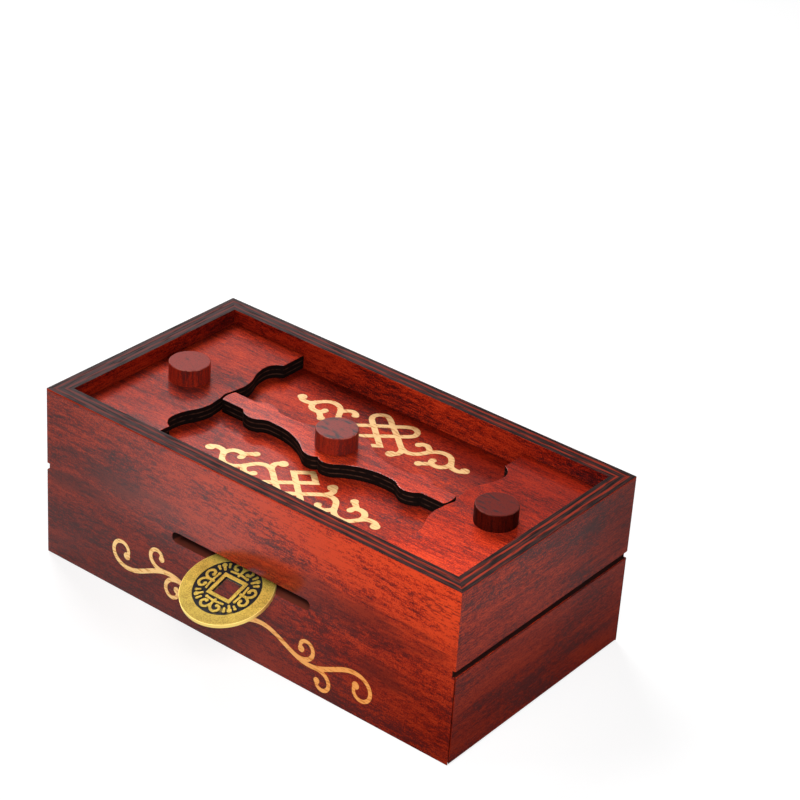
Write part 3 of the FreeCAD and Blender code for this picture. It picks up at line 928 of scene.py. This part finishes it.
@dataclass(frozen=True)
class BareWood:
    """Unstained sanded wood of the parts inside."""

    light: Colour = (0.700, 0.490, 0.275)
    dark: Colour = (0.480, 0.300, 0.150)
    along: float = 70.0
    across: float = 800.0

    def material(self, name: str, grain: Grain) -> bpy.types.Material:
        """Put the finish together.

        Args:
            name: The material's name.
            grain: The way the board's grain runs.

        Returns:
            The board's material.
        """
        board = NodeBoard(name)
        scales = (self.along if part else self.across for part in grain.value)
        stretched = board.join(*(part * scale for part, scale in zip(board.split(board.place), scales)))
        lines = board.noise(stretched, 1.0, 5.0, 0.6)
        clouds = board.noise(board.place, 40.0, 2.0)
        colour = board.ramp(clouds * 0.35 + lines * 0.65, ((0.36, self.dark), (0.62, self.light)))
        board.bump(lines, 0.05, 0.3)
        return board.finish(base_color=colour, roughness=0.62, specular_ior_level=0.3)


@dataclass(frozen=True)
class AgedBrass:
    """Cast brass worn bright where it stands proud, black in its field, with painted light across its face
    and a painted highlight on its edge.
    """

    centre: Position
    tilt: float
    field_level: float
    rim_level: float
    rim_radius: float = 13.5
    # Painted highlight along the coin's outer edge: where it starts and where it is full.
    painted_highlight_radius: Point = (14.2, 14.4)
    bright: Colour = (0.560, 0.395, 0.075)
    dull: Colour = (0.330, 0.222, 0.040)
    # Colour of the painted highlight on the coin's edge.
    edge: Colour = (0.960, 0.700, 0.200)
    patina: Colour = (0.010, 0.010, 0.013)
    # Painted light and shade across the coin: shares of brightness on its outer side and near the wall, and
    # where they are reached.
    painted_light_shares: Point = (0.66, 1.55)
    painted_light_reach: Point = (-13.0, 2.0)
    roughness: Point = (0.48, 0.54)
    sheen: float = 0.75

    def material(self, name: str) -> bpy.types.Material:
        """Put the finish together, measured across the coin's own tilted plane.

        Args:
            name: The material's name.

        Returns:
            The coin's material.
        """
        board = NodeBoard(name)
        x, y, height = board.split(board.tilted(self.centre, self.tilt))
        radius = (x * x + y * y).root()
        lift = board.noise(board.place, 320.0, 4.0) * (0.05 * MM) + abs(height)
        proud = lift.fade((self.field_level + 0.07) * MM, (self.rim_level - 0.03) * MM)
        proud = proud | radius.above(self.rim_radius * MM)
        proud = proud | board.noise(board.place, 170.0, 2.0).fade(0.60, 0.74) * 0.75
        tone = board.noise(board.place, 2600.0, 3.0) * 0.6 + board.noise(board.place, 260.0, 3.0) * 0.4
        metal = board.mix(tone.fade(0.38, 0.60), self.dull, self.bright)
        # Painted light: the coin is painted darker on its outer side and brighter near the wall, standing in
        # for even light across it.
        outer, inner = ((share,) * 3 for share in self.painted_light_shares)
        wear = board.mix(y.fade(*(reach * MM for reach in self.painted_light_reach)), outer, inner)
        metal = board.mix(1.0, metal, wear, "MULTIPLY")
        # Painted highlight on the coin's outer edge.
        metal = board.mix(radius.fade(*(reach * MM for reach in self.painted_highlight_radius)), metal, self.edge)
        colour = board.mix(proud, self.patina, metal)
        board.bump(board.noise(board.place, 1500.0, 3.0), 0.04, 0.3)
        return board.finish(base_color=colour, roughness=proud.pick(*self.roughness),
                            metallic=proud * self.sheen, specular_ior_level=0.2)


@dataclass(frozen=True)
class Gilt:
    """Pale gold print that lets the wood's grain show faintly, with painted shade that makes it darker and
    warmer towards the right.
    """

    left: Colour = (0.645, 0.405, 0.185)
    right: Colour = (0.640, 0.395, 0.165)
    half_length: float = 50.0
    metallic: float = 0.30
    grain: Figure = Figure(260.0, 1500.0, 4.0, 0.65)
    grain_tint: Colour = (0.70, 0.52, 0.36)

    def material(self, name: str) -> bpy.types.Material:
        """Put the finish together.

        Args:
            name: The material's name.

        Returns:
            The print's material.
        """
        board = NodeBoard(name)
        place = board.split(board.place)
        lines = self.grain.lay(board, place)
        # Painted shade across the print, from the left colour to the right one.
        gold = board.mix(place[0].fade(-self.half_length * MM, self.half_length * MM), self.left, self.right)
        colour = board.mix(lines.fade(0.49, 0.37), gold, self.grain_tint, "MULTIPLY")
        board.bump(lines, 0.03, 0.3)
        return board.finish(base_color=colour, roughness=0.42, metallic=self.metallic, specular_ior_level=0.2)


DECK_GILT = Gilt()
# Painted shade: the front print is painted darker and warmer towards the right.
FRONT_GILT = Gilt(left=(0.985, 0.650, 0.275), right=(0.840, 0.350, 0.085), metallic=0.90)


@dataclass(frozen=True)
class Stroke:
    """One brush stroke of an ornament: the points it passes, its width, and a ball at its end."""

    points: tuple[Point, ...]
    width: float = 1.9
    ball: float = 0.0
    taper: float = 1.0

    def course(self, spacing: float = 0.25) -> list[Vector]:
        """Follow the stroke; a point given twice is a sharp corner.

        Args:
            spacing: About how far apart the points lie, in millimetres.

        Returns:
            Closely spaced points along the stroke.
        """
        runs, run = [], [Vector(self.points[0])]
        for previous, point in zip(self.points, self.points[1:]):
            if point == previous:
                runs.append(run)
                run = [Vector(point)]
            else:
                run.append(Vector(point))
        runs.append(run)
        course: list[Vector] = []
        for run in runs:
            course.extend(self.curve(run, spacing)[1 if course else 0:])
        return course

    @staticmethod
    def curve(run: list[Vector], spacing: float) -> list[Vector]:
        """Draw a smooth curve through the points of a run.

        Args:
            run: The points.
            spacing: About how far apart the curve's points lie, in millimetres.

        Returns:
            Points along the curve.
        """
        if len(run) == 2:
            return run
        padded = [2 * run[0] - run[1], *run, 2 * run[-1] - run[-2]]
        course = [run[0]]
        for before, start, end, after in zip(padded, padded[1:], padded[2:], padded[3:]):
            count = max(2, round((end - start).length / spacing))
            for index in range(1, count + 1):
                t = index / count
                course.append(0.5 * (
                    2 * start + (end - before) * t
                    + (2 * before - 5 * start + 4 * end - after) * t ** 2
                    + (3 * start - before - 3 * end + after) * t ** 3
                ))
        return course

    def outlines(self, ball_sides: int = 36) -> list[list[Vector]]:
        """Outline the stroke and the ball at its end.

        Args:
            ball_sides: Sides of the ball's outline.

        Returns:
            The closed outlines.
        """
        course = self.course()
        shapes = [self.outline(course)]
        if self.ball:
            turns = [2 * math.pi * index / ball_sides for index in range(ball_sides)]
            shapes.append([course[-1] + self.ball * Vector((math.cos(t), math.sin(t))) for t in turns])
        return shapes

    def outline(self, course: list[Vector]) -> list[Vector]:
        """Outline the stroke along its course, with rounded ends.

        Args:
            course: Points along the stroke.

        Returns:
            The closed outline.
        """
        sides: tuple[list[Vector], list[Vector]] = ([], [])
        for index, point in enumerate(course):
            before = course[max(index - 1, 0)]
            after = course[min(index + 1, len(course) - 1)]
            into = (point - before).normalized() if index else (after - point).normalized()
            out = (after - point).normalized() if index + 1 < len(course) else into
            normal = Vector((-(into + out).y, (into + out).x)).normalized()
            share = index / (len(course) - 1)
            half = self.width / 2 * (1 + (self.taper - 1) * share)
            reach = half / max(normal.dot(Vector((-into.y, into.x))), 0.5)
            sides[0].append(point + normal * reach)
            sides[1].append(point - normal * reach)
        start = self.cap(sides[1][0], sides[0][0])
        end = self.cap(sides[0][-1], sides[1][-1])
        return [*sides[0], *end, *reversed(sides[1]), *start]

    @staticmethod
    def cap(first: Vector, last: Vector, count: int = 8) -> list[Vector]:
        """Close an outline with a half circle.

        Args:
            first: Where the half circle starts.
            last: Where it ends.
            count: Number of its sides.

        Returns:
            The points between the two ends.
        """
        centre, arm = (first + last) / 2, (first - last) / 2
        points = []
        for index in range(1, count):
            angle = -math.pi * index / count
            cosine, sine = math.cos(angle), math.sin(angle)
            points.append(centre + Vector((arm.x * cosine - arm.y * sine, arm.x * sine + arm.y * cosine)))
        return points


def mirror_strokes(strokes: tuple[Stroke, ...]) -> tuple[Stroke, ...]:
    """Return strokes with their copies mirrored left to right."""
    copies = (replace(stroke, points=tuple((-x, y) for x, y in stroke.points)) for stroke in strokes)
    return (*strokes, *copies)


def raise_outline(outline: list[Vector], height: float) -> bpy.types.Object:
    """Draw one closed outline on a plane and raise it.

    Args:
        outline: The outline's points, in millimetres.
        height: How far it is raised, in millimetres.

    Returns:
        The raised shape, as a new object.
    """
    def lift() -> None:
        """Extrude the mesh in edit mode upwards."""
        bpy.ops.mesh.extrude_region_move(TRANSFORM_OT_translate={"value": (0.0, 0.0, height * MM)})

    bpy.ops.object.select_all(action="DESELECT")
    bpy.ops.mesh.primitive_circle_add(vertices=len(outline), radius=MM, fill_type="NGON")
    shape = bpy.context.object
    for vertex, point in zip(shape.data.vertices, outline):
        vertex.co = (point.x * MM, point.y * MM, 0.0)
    edit(shape, lift)
    return shape


def lay_strokes(name: str, strokes: tuple[Stroke, ...], thickness: float, placing: Matrix,
                layer_step: float = 0.004) -> bpy.types.Object:
    """Model strokes as thin raised shapes on a plane.

    Args:
        name: The piece's name.
        strokes: The strokes, in millimetres on the plane.
        thickness: How far the first stroke stands proud, in millimetres.
        placing: Where the plane lies, in metres.
        layer_step: How much prouder each later outline stands, in millimetres.

    Returns:
        The piece, with its place in its mesh.
    """
    outlines = [outline for stroke in strokes for outline in stroke.outlines()]
    shapes = []
    for layer, outline in enumerate(outlines):
        shapes.append(raise_outline(outline, thickness + layer_step * layer))
    piece = shapes[0]
    focus(piece)
    for shape in shapes:
        shape.select_set(True)
    bpy.ops.object.join()
    piece.name = name
    piece.matrix_world = placing
    settle(piece)
    edit(piece, bpy.ops.mesh.quads_convert_to_tris, face_outwards)
    return piece


@dataclass(frozen=True)
class KnotOrnament:
    """Endless knot between cloud scrolls, measured from its point at the bar towards the wall."""

    thickness: float = 0.06
    copies: tuple[tuple[str, float, float], ...] = (
        ("front_ornament", -1.0, 9.1), ("back_ornament", 1.0, 10.8),
    )
    knot: tuple[Stroke, ...] = (
        Stroke((
            (0.0, 1.35), (4.4, 5.15), (4.4, 5.15), (0.0, 9.05), (-4.65, 13.25), (-7.3, 15.6), (-8.35, 17.5),
            (-7.7, 19.6), (-5.6, 20.7), (-3.4, 19.8), (0.0, 17.0), (4.65, 13.3), (9.0, 9.5), (10.8, 8.3),
            (13.0, 7.9), (15.0, 8.7), (16.4, 10.4), (17.4, 12.3), (18.6, 13.9), (20.3, 15.1), (22.5, 15.45),
            (24.5, 14.7), (25.9, 13.1), (27.0, 11.3), (28.4, 10.15), (30.4, 9.95), (31.7, 10.5), (32.2, 11.5),
        ), 1.9, 1.55),
    )
    scrolls: tuple[Stroke, ...] = (
        Stroke(((17.6, 12.4), (16.6, 14.1), (14.9, 15.2), (13.2, 14.9), (12.6, 13.95)), 1.9, 1.2),
        Stroke(((10.4, 8.5), (11.2, 7.0), (11.3, 5.4), (10.5, 4.2), (9.7, 3.75)), 2.0, 1.65),
        Stroke((
            (26.9, 11.6), (26.7, 9.8), (25.6, 8.2), (23.9, 7.6), (22.2, 7.9), (21.4, 9.0), (21.4, 9.7),
        ), 2.0, 1.15),
        Stroke(((22.4, 7.9), (20.8, 6.5), (19.3, 5.2)), 1.9, 1.3),
    )

    def build(self, deck_top: float, finish: bpy.types.Material) -> None:
        """Lay both copies of the ornament on the deck.

        Args:
            deck_top: Level of the deck's upper face, in metres.
            finish: The ornament's material.
        """
        strokes = mirror_strokes(self.knot) + mirror_strokes(self.scrolls)
        for name, side, reach in self.copies:
            placing = Matrix.Translation((0.0, side * reach * MM, deck_top))
            placing = placing @ Matrix.Diagonal((1.0, side, 1.0, 1.0))
            piece = lay_strokes(name, strokes, self.thickness, placing)
            dress(piece, finish)
            seat(piece, Body.BOX)


@dataclass(frozen=True)
class FrontFlourish:
    """Plain vine flourish printed low on the front, either side of the coin."""

    thickness: float = 0.05
    width: float = 1.6
    middle: float = 12.2
    rise: float = 3.0
    wave: float = 37.0
    reach: int = 40
    curl_taper: float = 0.75
    curl_steps: int = 48
    curls: tuple[tuple[float, float, float, Point, float], ...] = (
        (40.0, -1.0, 25.5, (2.0, 24.0), 1.3),
        (19.5, 1.0, 21.0, (1.0, 30.0), 1.2),
        (29.5, -1.0, 16.0, (5.0, 31.0), 1.1),
    )

    def height_at(self, x: float) -> float:
        """Return the stem's height."""
        return self.middle + self.rise * math.sin(2 * math.pi * x / self.wave)

    def curl(self, root: float, side: float, length: float, bends: Point, ball: float) -> Stroke:
        """Draw a curl that leaves the stem smoothly and winds in.

        Args:
            root: Where it leaves the stem.
            side: 1 where it winds to the left, -1 to the right.
            length: Its length, in millimetres.
            bends: Its bend at the root and at the tip, in degrees per millimetre.
            ball: Radius of the ball at its tip.

        Returns:
            The curl.
        """
        place = Vector((root, self.height_at(root)))
        heading = math.atan2(self.height_at(root + NEAR) - self.height_at(root - NEAR), 2 * NEAR)
        points, steps = [tuple(place)], self.curl_steps
        for index in range(steps):
            bend = bends[0] + (bends[1] - bends[0]) * (index + 0.5) / steps
            heading += side * math.radians(bend) * length / steps
            place = place + length / steps * Vector((math.cos(heading), math.sin(heading)))
            points.append(tuple(place))
        return Stroke(tuple(points), self.width, ball, self.curl_taper)

    def strokes(self) -> tuple[Stroke, ...]:
        """Draw the flourish: one waving stem, with curls that repeat turned half round.

        Returns:
            The strokes, in millimetres on the front.
        """
        stem = tuple((x, self.height_at(x)) for x in range(-self.reach, self.reach + 1, 2))
        curls = [self.curl(*curl) for curl in self.curls]
        for curl in tuple(curls):
            curls.append(replace(curl, points=tuple((-x, 2 * self.middle - z) for x, z in curl.points)))
        return (Stroke(stem, self.width), *curls)

    def build(self, face: float, finish: bpy.types.Material) -> None:
        """Lay the flourish on the front face.

        Args:
            face: Level of the front face along the depth, in metres.
            finish: The flourish's material.
        """
        placing = Matrix.Translation((0.0, face, 0.0)) @ Matrix.Rotation(math.radians(90.0), 4, "X")
        piece = lay_strokes("front_flourish", self.strokes(), self.thickness, placing)
        dress(piece, finish)
        seat(piece, Body.BOX)


@dataclass
class Case:
    """The glued case: four walls as one shell."""

    easing: float = 0.35
    groove_half: float = 1.45
    slot_drop: float = 2.0
    slot_half: Point = (27.05, 1.79)
    walls: tuple[str, ...] = ("front_wall", "back_wall", "left_wall", "right_upper_wall")
    half_length: float = field(init=False)
    half_depth: float = field(init=False)
    height: float = field(init=False)
    wall: float = field(init=False)
    deck_top: float = field(init=False)
    groove_level: float = field(init=False)

    def __post_init__(self) -> None:
        """Read the case's levels from the frame."""
        low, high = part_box("front_wall")
        self.half_length = high.x
        self.half_depth = -low.y
        self.height = high.z
        self.wall = high.y - low.y
        self.deck_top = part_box("deck_board")[1].z
        self.groove_level = (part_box("drawer_front")[1].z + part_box("right_upper_wall")[0].z) / 2

    def finish(self) -> CaseFinish:
        """Fit the finish of the walls to the case's sizes.

        Returns:
            The finish.
        """
        return CaseFinish(
            self.half_length, self.half_depth, self.height, self.wall,
            groove_level=self.groove_level, groove_half=self.groove_half * MM,
            slot_level=self.groove_level - self.slot_drop * MM,
            slot_half=(self.slot_half[0] * MM, self.slot_half[1] * MM),
        )

    def build(self) -> None:
        """Join the walls into one shell, ease its outer edges and dress it."""
        shell = node_copy(self.walls[0], "case_shell")
        for node in self.walls[1:]:
            part = node_copy(node, f"{node}_blank")
            union = shell.modifiers.new("glue", "BOOLEAN")
            union.operation = "UNION"
            union.solver = "EXACT"
            union.object = part
            apply_modifier(shell, union.name)
            bpy.data.objects.remove(part)
        edit(shell, weld)
        ease_edges(shell, self.easing, self.outer_edge)
        smooth(shell)
        dress(shell, self.finish().material("case_veneer"))
        seat(shell, Body.BOX, self.walls)

    def on_skin(self, point: Vector) -> bool:
        """Tell whether a point, in millimetres, lies on the outside of the case."""
        on_end = abs(abs(point.x) - self.half_length / MM) < NEAR
        return on_end or abs(abs(point.y) - self.half_depth / MM) < NEAR

    def outer_edge(self, first: Vector, last: Vector) -> bool:
        """Tell whether an edge lies on the rim, the foot or a corner of the case.

        Args:
            first: One end of the edge, in millimetres.
            last: Its other end.

        Returns:
            Whether the edge is eased.
        """
        level = abs(first.z - last.z) < NEAR
        if level and abs(first.z - self.height / MM) < NEAR:
            return True
        return self.on_skin(first) and self.on_skin(last)


@dataclass
class Knobs:
    """The three dowel knobs, each with its body, share of stain brightness as painted light and shade,
    smudges and sheen.
    """

    rounding: float = 0.4
    rounding_faces: int = 4
    crisp_angle: float = 50.0
    sides: int = 96
    # The share of stain brightness is painted light and shade: the right knob is painted dark as if in shade,
    # the left one bright as if lit.
    knobs: tuple[tuple[str, Body, float, float, float], ...] = (
        ("left_knob", Body.LEFT_LID, 1.50, 0.25, 0.05),
        ("centre_knob", Body.BAR, 1.10, 0.75, 0.12),
        ("right_knob", Body.RIGHT_LID, 0.22, 0.55, 0.02),
    )

    def build(self) -> None:
        """Turn each knob at its node's size and ease its edges."""
        for node, body, depth, smudged, sheen in self.knobs:
            low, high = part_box(node)
            bpy.ops.object.select_all(action="DESELECT")
            bpy.ops.mesh.primitive_cylinder_add(
                vertices=self.sides, radius=(high.x - low.x) / 2, depth=high.z - low.z,
                location=(low + high) / 2,
            )
            knob = bpy.context.object
            knob.name = f"{node}_turned"
            settle(knob)
            ease_edges(knob, self.rounding, beyond(UP, high.z / MM), self.rounding_faces)
            smooth(knob, self.crisp_angle)
            dress(knob, DowelFinish().material(f"{node}_dowel", depth, smudged, sheen))
            seat(knob, body, (node,))


@dataclass
class CutPieces:
    """The laser-cut lids and bar, each with its body, share of stain brightness as painted light and shade,
    and weight of varnish.
    """

    easing: float = 0.25
    # The stain shares are painted light: the right panel and the bar are painted brighter, as if more
    # strongly lit.
    pieces: tuple[tuple[str, Body, float, float], ...] = (
        ("left_panel", Body.LEFT_LID, 1.05, 0.24),
        ("right_panel", Body.RIGHT_LID, 1.65, 0.14),
        ("centre_bar", Body.BAR, 1.45, 0.42),
    )

    def build(self) -> None:
        """Copy each cut piece, ease its edges and dress it."""
        for node, body, stain, coat in self.pieces:
            low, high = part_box(node)
            veneer = replace(BOARD_VENEER, stain=Stain().scaled(stain), varnish=Varnish(coat=coat))
            # The right panel gets painted shade towards its back.
            painted_wall_shade = (low.y, high.y) if body is Body.RIGHT_LID else None
            piece = node_copy(node, f"{node}_cut")
            ease_edges(piece, self.easing)
            smooth(piece)
            dress(piece, CutPlyFinish(low.z, veneer, painted_wall_shade=painted_wall_shade).material(f"{node}_veneer"))
            seat(piece, body, (node,))


@dataclass
class Drawer:
    """The drawer, whose front is the lower half of the right end."""

    easing: float = 0.35

    def build(self, case: Case) -> None:
        """Ease the drawer's front and dress it as the case.

        Args:
            case: The case that the front belongs to.
        """
        front = node_copy("drawer_front", "drawer_front_veneered")
        ease_edges(front, self.easing, beyond(RIGHT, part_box("drawer_front")[1].x / MM))
        smooth(front)
        dress(front, case.finish().material("drawer_veneer"))
        seat(front, Body.DRAWER, ("drawer_front",))


@dataclass
class Coin:
    """The brass coin in the slot."""

    tilt: float = 18.0
    easing: float = 0.16
    relief: float = 0.22
    relief_root: float = 0.38
    field_level: float = 0.40
    rim_level: float = 0.65
    motif: tuple[Stroke, ...] = (
        Stroke((
            (0.0, 5.3), (0.0, 7.4), (-0.9, 8.8), (-2.3, 9.1), (-3.3, 8.1), (-2.9, 7.0), (-2.0, 6.9),
        ), 0.85, 0.6),
        Stroke(((0.0, 7.2), (0.9, 8.8), (2.3, 9.1), (3.3, 8.1), (2.9, 7.0), (2.0, 6.9)), 0.85, 0.6),
        Stroke(((-3.1, 5.6), (0.0, 5.9), (3.1, 5.6)), 0.7, 0.5),
        Stroke(((5.2, 5.2), (6.5, 6.5)), 0.8, 0.75),
        Stroke(((4.6, 6.6), (5.2, 7.6)), 0.7, 0.5),
        Stroke(((6.6, 4.6), (7.6, 5.2)), 0.7, 0.5),
    )

    def build(self) -> None:
        """Ease the coin, add its relief on both faces and dress it."""
        low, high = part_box("coin")
        centre = (low + high) / 2
        disc = node_copy("coin", "coin_struck")
        ease_edges(disc, self.easing)
        smooth(disc)
        placing = Matrix.Translation(centre) @ Matrix.Rotation(math.radians(self.tilt), 4, "X")
        for name, side in (("obverse", 1.0), ("reverse", -1.0)):
            face = placing @ Matrix.Translation((0.0, 0.0, side * self.relief_root * MM))
            face = face @ Matrix.Diagonal((1.0, 1.0, side, 1.0))
            marks = lay_strokes(f"coin_{name}", self.marks(), self.relief, face)
            focus(disc)
            marks.select_set(True)
            bpy.ops.object.join()
        finish = AgedBrass(tuple(centre), self.tilt, self.field_level, self.rim_level)
        dress(disc, finish.material("aged_brass"))
        seat(disc, Body.COIN, ("coin",))

    def marks(self) -> tuple[Stroke, ...]:
        """Draw the relief: a cloud curl on each side of the square hole, and a bud at each corner.

        Returns:
            The strokes, in millimetres from the coin's middle.
        """
        marks = []
        for quarter in range(4):
            turn = Matrix.Rotation(math.pi / 2 * quarter, 2)
            for mark in self.motif:
                turned = tuple(tuple(turn @ Vector(point)) for point in mark.points)
                marks.append(replace(mark, points=turned))
        return tuple(marks)


@dataclass
class Interior:
    """The bare boards inside, and the stained deck."""

    deck_stain: float = 1.20
    # Painted shade on the deck towards the back wall: distances from it where it starts and is full, and how
    # much further forward it reaches towards the right.
    deck_painted_wall_shade: Point = (17.0, 2.0)
    painted_wall_shade_spread: float = 0.62
    bare: tuple[tuple[Grain, tuple[str, ...]], ...] = (
        (Grain.LENGTH, (
            "bottom_board", "ceiling_board", "left_well_frame", "right_well_frame", "front_left_kicker",
            "front_right_kicker", "back_kicker", "drawer_front_side", "drawer_back_side", "drawer_floor",
            "drawer_divider", "gate_disc",
        )),
        (Grain.DEPTH, ("drawer_rear", "left_cleat", "right_cleat")),
        (Grain.UPRIGHT, ("drawer_stops", "left_knob_dowel", "right_knob_dowel", "pivot_dowel")),
    )

    def build(self) -> None:
        """Dress the deck and every bare board."""
        low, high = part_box("deck_board")
        veneer = replace(BOARD_VENEER, stain=Stain().scaled(self.deck_stain))
        painted_wall_shade = tuple(high.y - distance * MM for distance in self.deck_painted_wall_shade)
        deck = CutPlyFinish(low.z, veneer, painted_wall_shade=painted_wall_shade, painted_wall_shade_spread=self.painted_wall_shade_spread)
        dress(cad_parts["deck_board"], deck.material("deck_veneer"))
        wood = BareWood()
        for grain, nodes in self.bare:
            material = wood.material(f"bare_wood_{grain.name.lower()}", grain)
            for node in nodes:
                dress(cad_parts[node], material)
        LOG.info("deck and %d bare boards dressed", sum(len(nodes) for _, nodes in self.bare))


@dataclass(frozen=True)
class Softbox:
    """One large soft lamp."""

    name: str
    place: Position
    target: Position
    size: Point
    power: float
    spread: float = 180.0

    def build(self) -> None:
        """Hang the lamp and aim it."""
        lamp = bpy.data.lights.new(self.name, "AREA")
        lamp.shape = "RECTANGLE"
        lamp.size, lamp.size_y = self.size
        lamp.energy = self.power
        lamp.spread = math.radians(self.spread)
        holder = bpy.data.objects.new(self.name, lamp)
        bpy.context.scene.collection.objects.link(holder)
        holder.location = self.place
        holder.visible_camera = False
        aim = Vector(self.target) - Vector(self.place)
        holder.rotation_euler = aim.to_track_quat("-Z", "Y").to_euler()


@dataclass(frozen=True)
class Studio:
    """Pale floor, soft light and the camera."""

    azimuth: float = 36.64
    elevation: float = 29.64
    roll: float = 4.03
    distance: float = 0.78575
    offset: Point = (0.02248, 0.06063)
    focal_pixels: float = 2522.0
    image_width: float = 800.0
    sensor: float = 36.0
    floor_size: float = 12.0
    floor_level: float = -0.0002
    floor_shade: float = 0.30
    floor_glow: float = 0.80
    sky: float = 0.06
    lamps: tuple[Softbox, ...] = (
        Softbox("overhead", (-0.40, 0.25, 0.55), (0.0, 0.0, 0.05), (0.35, 0.35), 4.6),
        Softbox("front_left", (-0.35, -0.40, 0.38), (0.0, -0.04, 0.05), (0.25, 0.25), 0.75),
        Softbox("right_side", (0.55, -0.05, 0.30), (0.0, 0.0, 0.05), (0.25, 0.25), 0.40),
        Softbox("front_right", (0.11, -0.15, 0.165), (0.06, -0.04, 0.05), (0.10, 0.10), 0.09, 90.0),
    )

    def build(self) -> None:
        """Set up floor, world, lamps and camera."""
        self.lay_floor()
        self.light_world()
        for lamp in self.lamps:
            lamp.build()
        self.place_camera()
        bpy.context.scene.view_settings.view_transform = "Standard"

    @staticmethod
    def seen(tree: bpy.types.NodeTree) -> bpy.types.NodeSocket:
        """Tell what the eye sees from what lights the object.

        Args:
            tree: The nodes of the floor or the world.

        Returns:
            1 for rays from the camera, reflections and transmission.
        """
        path = add_node(tree, "LightPath", {})
        total = path.outputs["Is Camera Ray"]
        for name in ("Is Glossy Ray", "Is Transmission Ray"):
            total = add_node(tree, "Math", {0: total, 1: path.outputs[name]}, operation="MAXIMUM").outputs[0]
        return total

    def lay_floor(self) -> None:
        """Lay a wide pale floor that keeps the object's shadow."""
        bpy.ops.object.select_all(action="DESELECT")
        bpy.ops.mesh.primitive_plane_add(size=self.floor_size, location=(0.0, 0.0, self.floor_level))
        floor = bpy.context.object
        floor.name = "studio_floor"
        material = bpy.data.materials.new("pale_floor")
        material.use_nodes = True
        tree = material.node_tree
        tree.nodes.clear()
        diffuse = add_node(tree, "BsdfDiffuse", {"Color": (*[self.floor_shade] * 3, 1.0)})
        strength = add_node(tree, "Math", {0: self.seen(tree), 1: self.floor_glow}, operation="MULTIPLY")
        glow = add_node(tree, "Emission", {"Strength": strength.outputs[0]})
        both = add_node(tree, "AddShader", {0: diffuse.outputs[0], 1: glow.outputs[0]})
        add_node(tree, "OutputMaterial", {"Surface": both.outputs[0]})
        dress(floor, material)

    def light_world(self) -> None:
        """Make the surroundings white to the eye and a soft fill to the object."""
        world = bpy.data.worlds.new("studio_air")
        bpy.context.scene.world = world
        world.use_nodes = True
        tree = world.node_tree
        tree.nodes.clear()
        strength = add_node(tree, "MapRange", {"Value": self.seen(tree), "To Min": self.sky, "To Max": 1.0})
        sky = add_node(tree, "Background", {"Color": (1.0, 1.0, 1.0, 1.0), "Strength": strength.outputs[0]})
        add_node(tree, "OutputWorld", {"Surface": sky.outputs[0]})

    def place_camera(self) -> None:
        """Place the camera at the photograph's angle."""
        turn, lift, roll = (math.radians(angle) for angle in (self.azimuth, self.elevation, self.roll))
        back = Vector((math.sin(turn) * math.cos(lift), -math.cos(turn) * math.cos(lift), math.sin(lift)))
        level = Vector((0.0, 0.0, 1.0)).cross(back).normalized()
        upright = back.cross(level)
        right = math.cos(roll) * level + math.sin(roll) * upright
        up = math.cos(roll) * upright - math.sin(roll) * level
        place = back * self.distance + right * self.offset[0] + up * self.offset[1]
        lens = bpy.data.cameras.new("camera")
        lens.sensor_width = self.sensor
        lens.lens = self.focal_pixels / self.image_width * self.sensor
        holder = bpy.data.objects.new("camera", lens)
        bpy.context.scene.collection.objects.link(holder)
        turned = Matrix((right, up, back)).transposed().to_4x4()
        holder.matrix_world = Matrix.Translation(place) @ turned
        bpy.context.scene.camera = holder


def main() -> None:
    """Build the whole scene."""
    logging.basicConfig(level=logging.INFO, format="%(name)s: %(message)s")
    case = Case()
    case.build()
    Interior().build()
    CutPieces().build()
    Knobs().build()
    Drawer().build(case)
    KnotOrnament().build(case.deck_top, DECK_GILT.material("deck_gilt"))
    FrontFlourish().build(-case.half_depth, FRONT_GILT.material("front_gilt"))
    Coin().build()
    Studio().build()


if __name__ == "__main__":
    main()
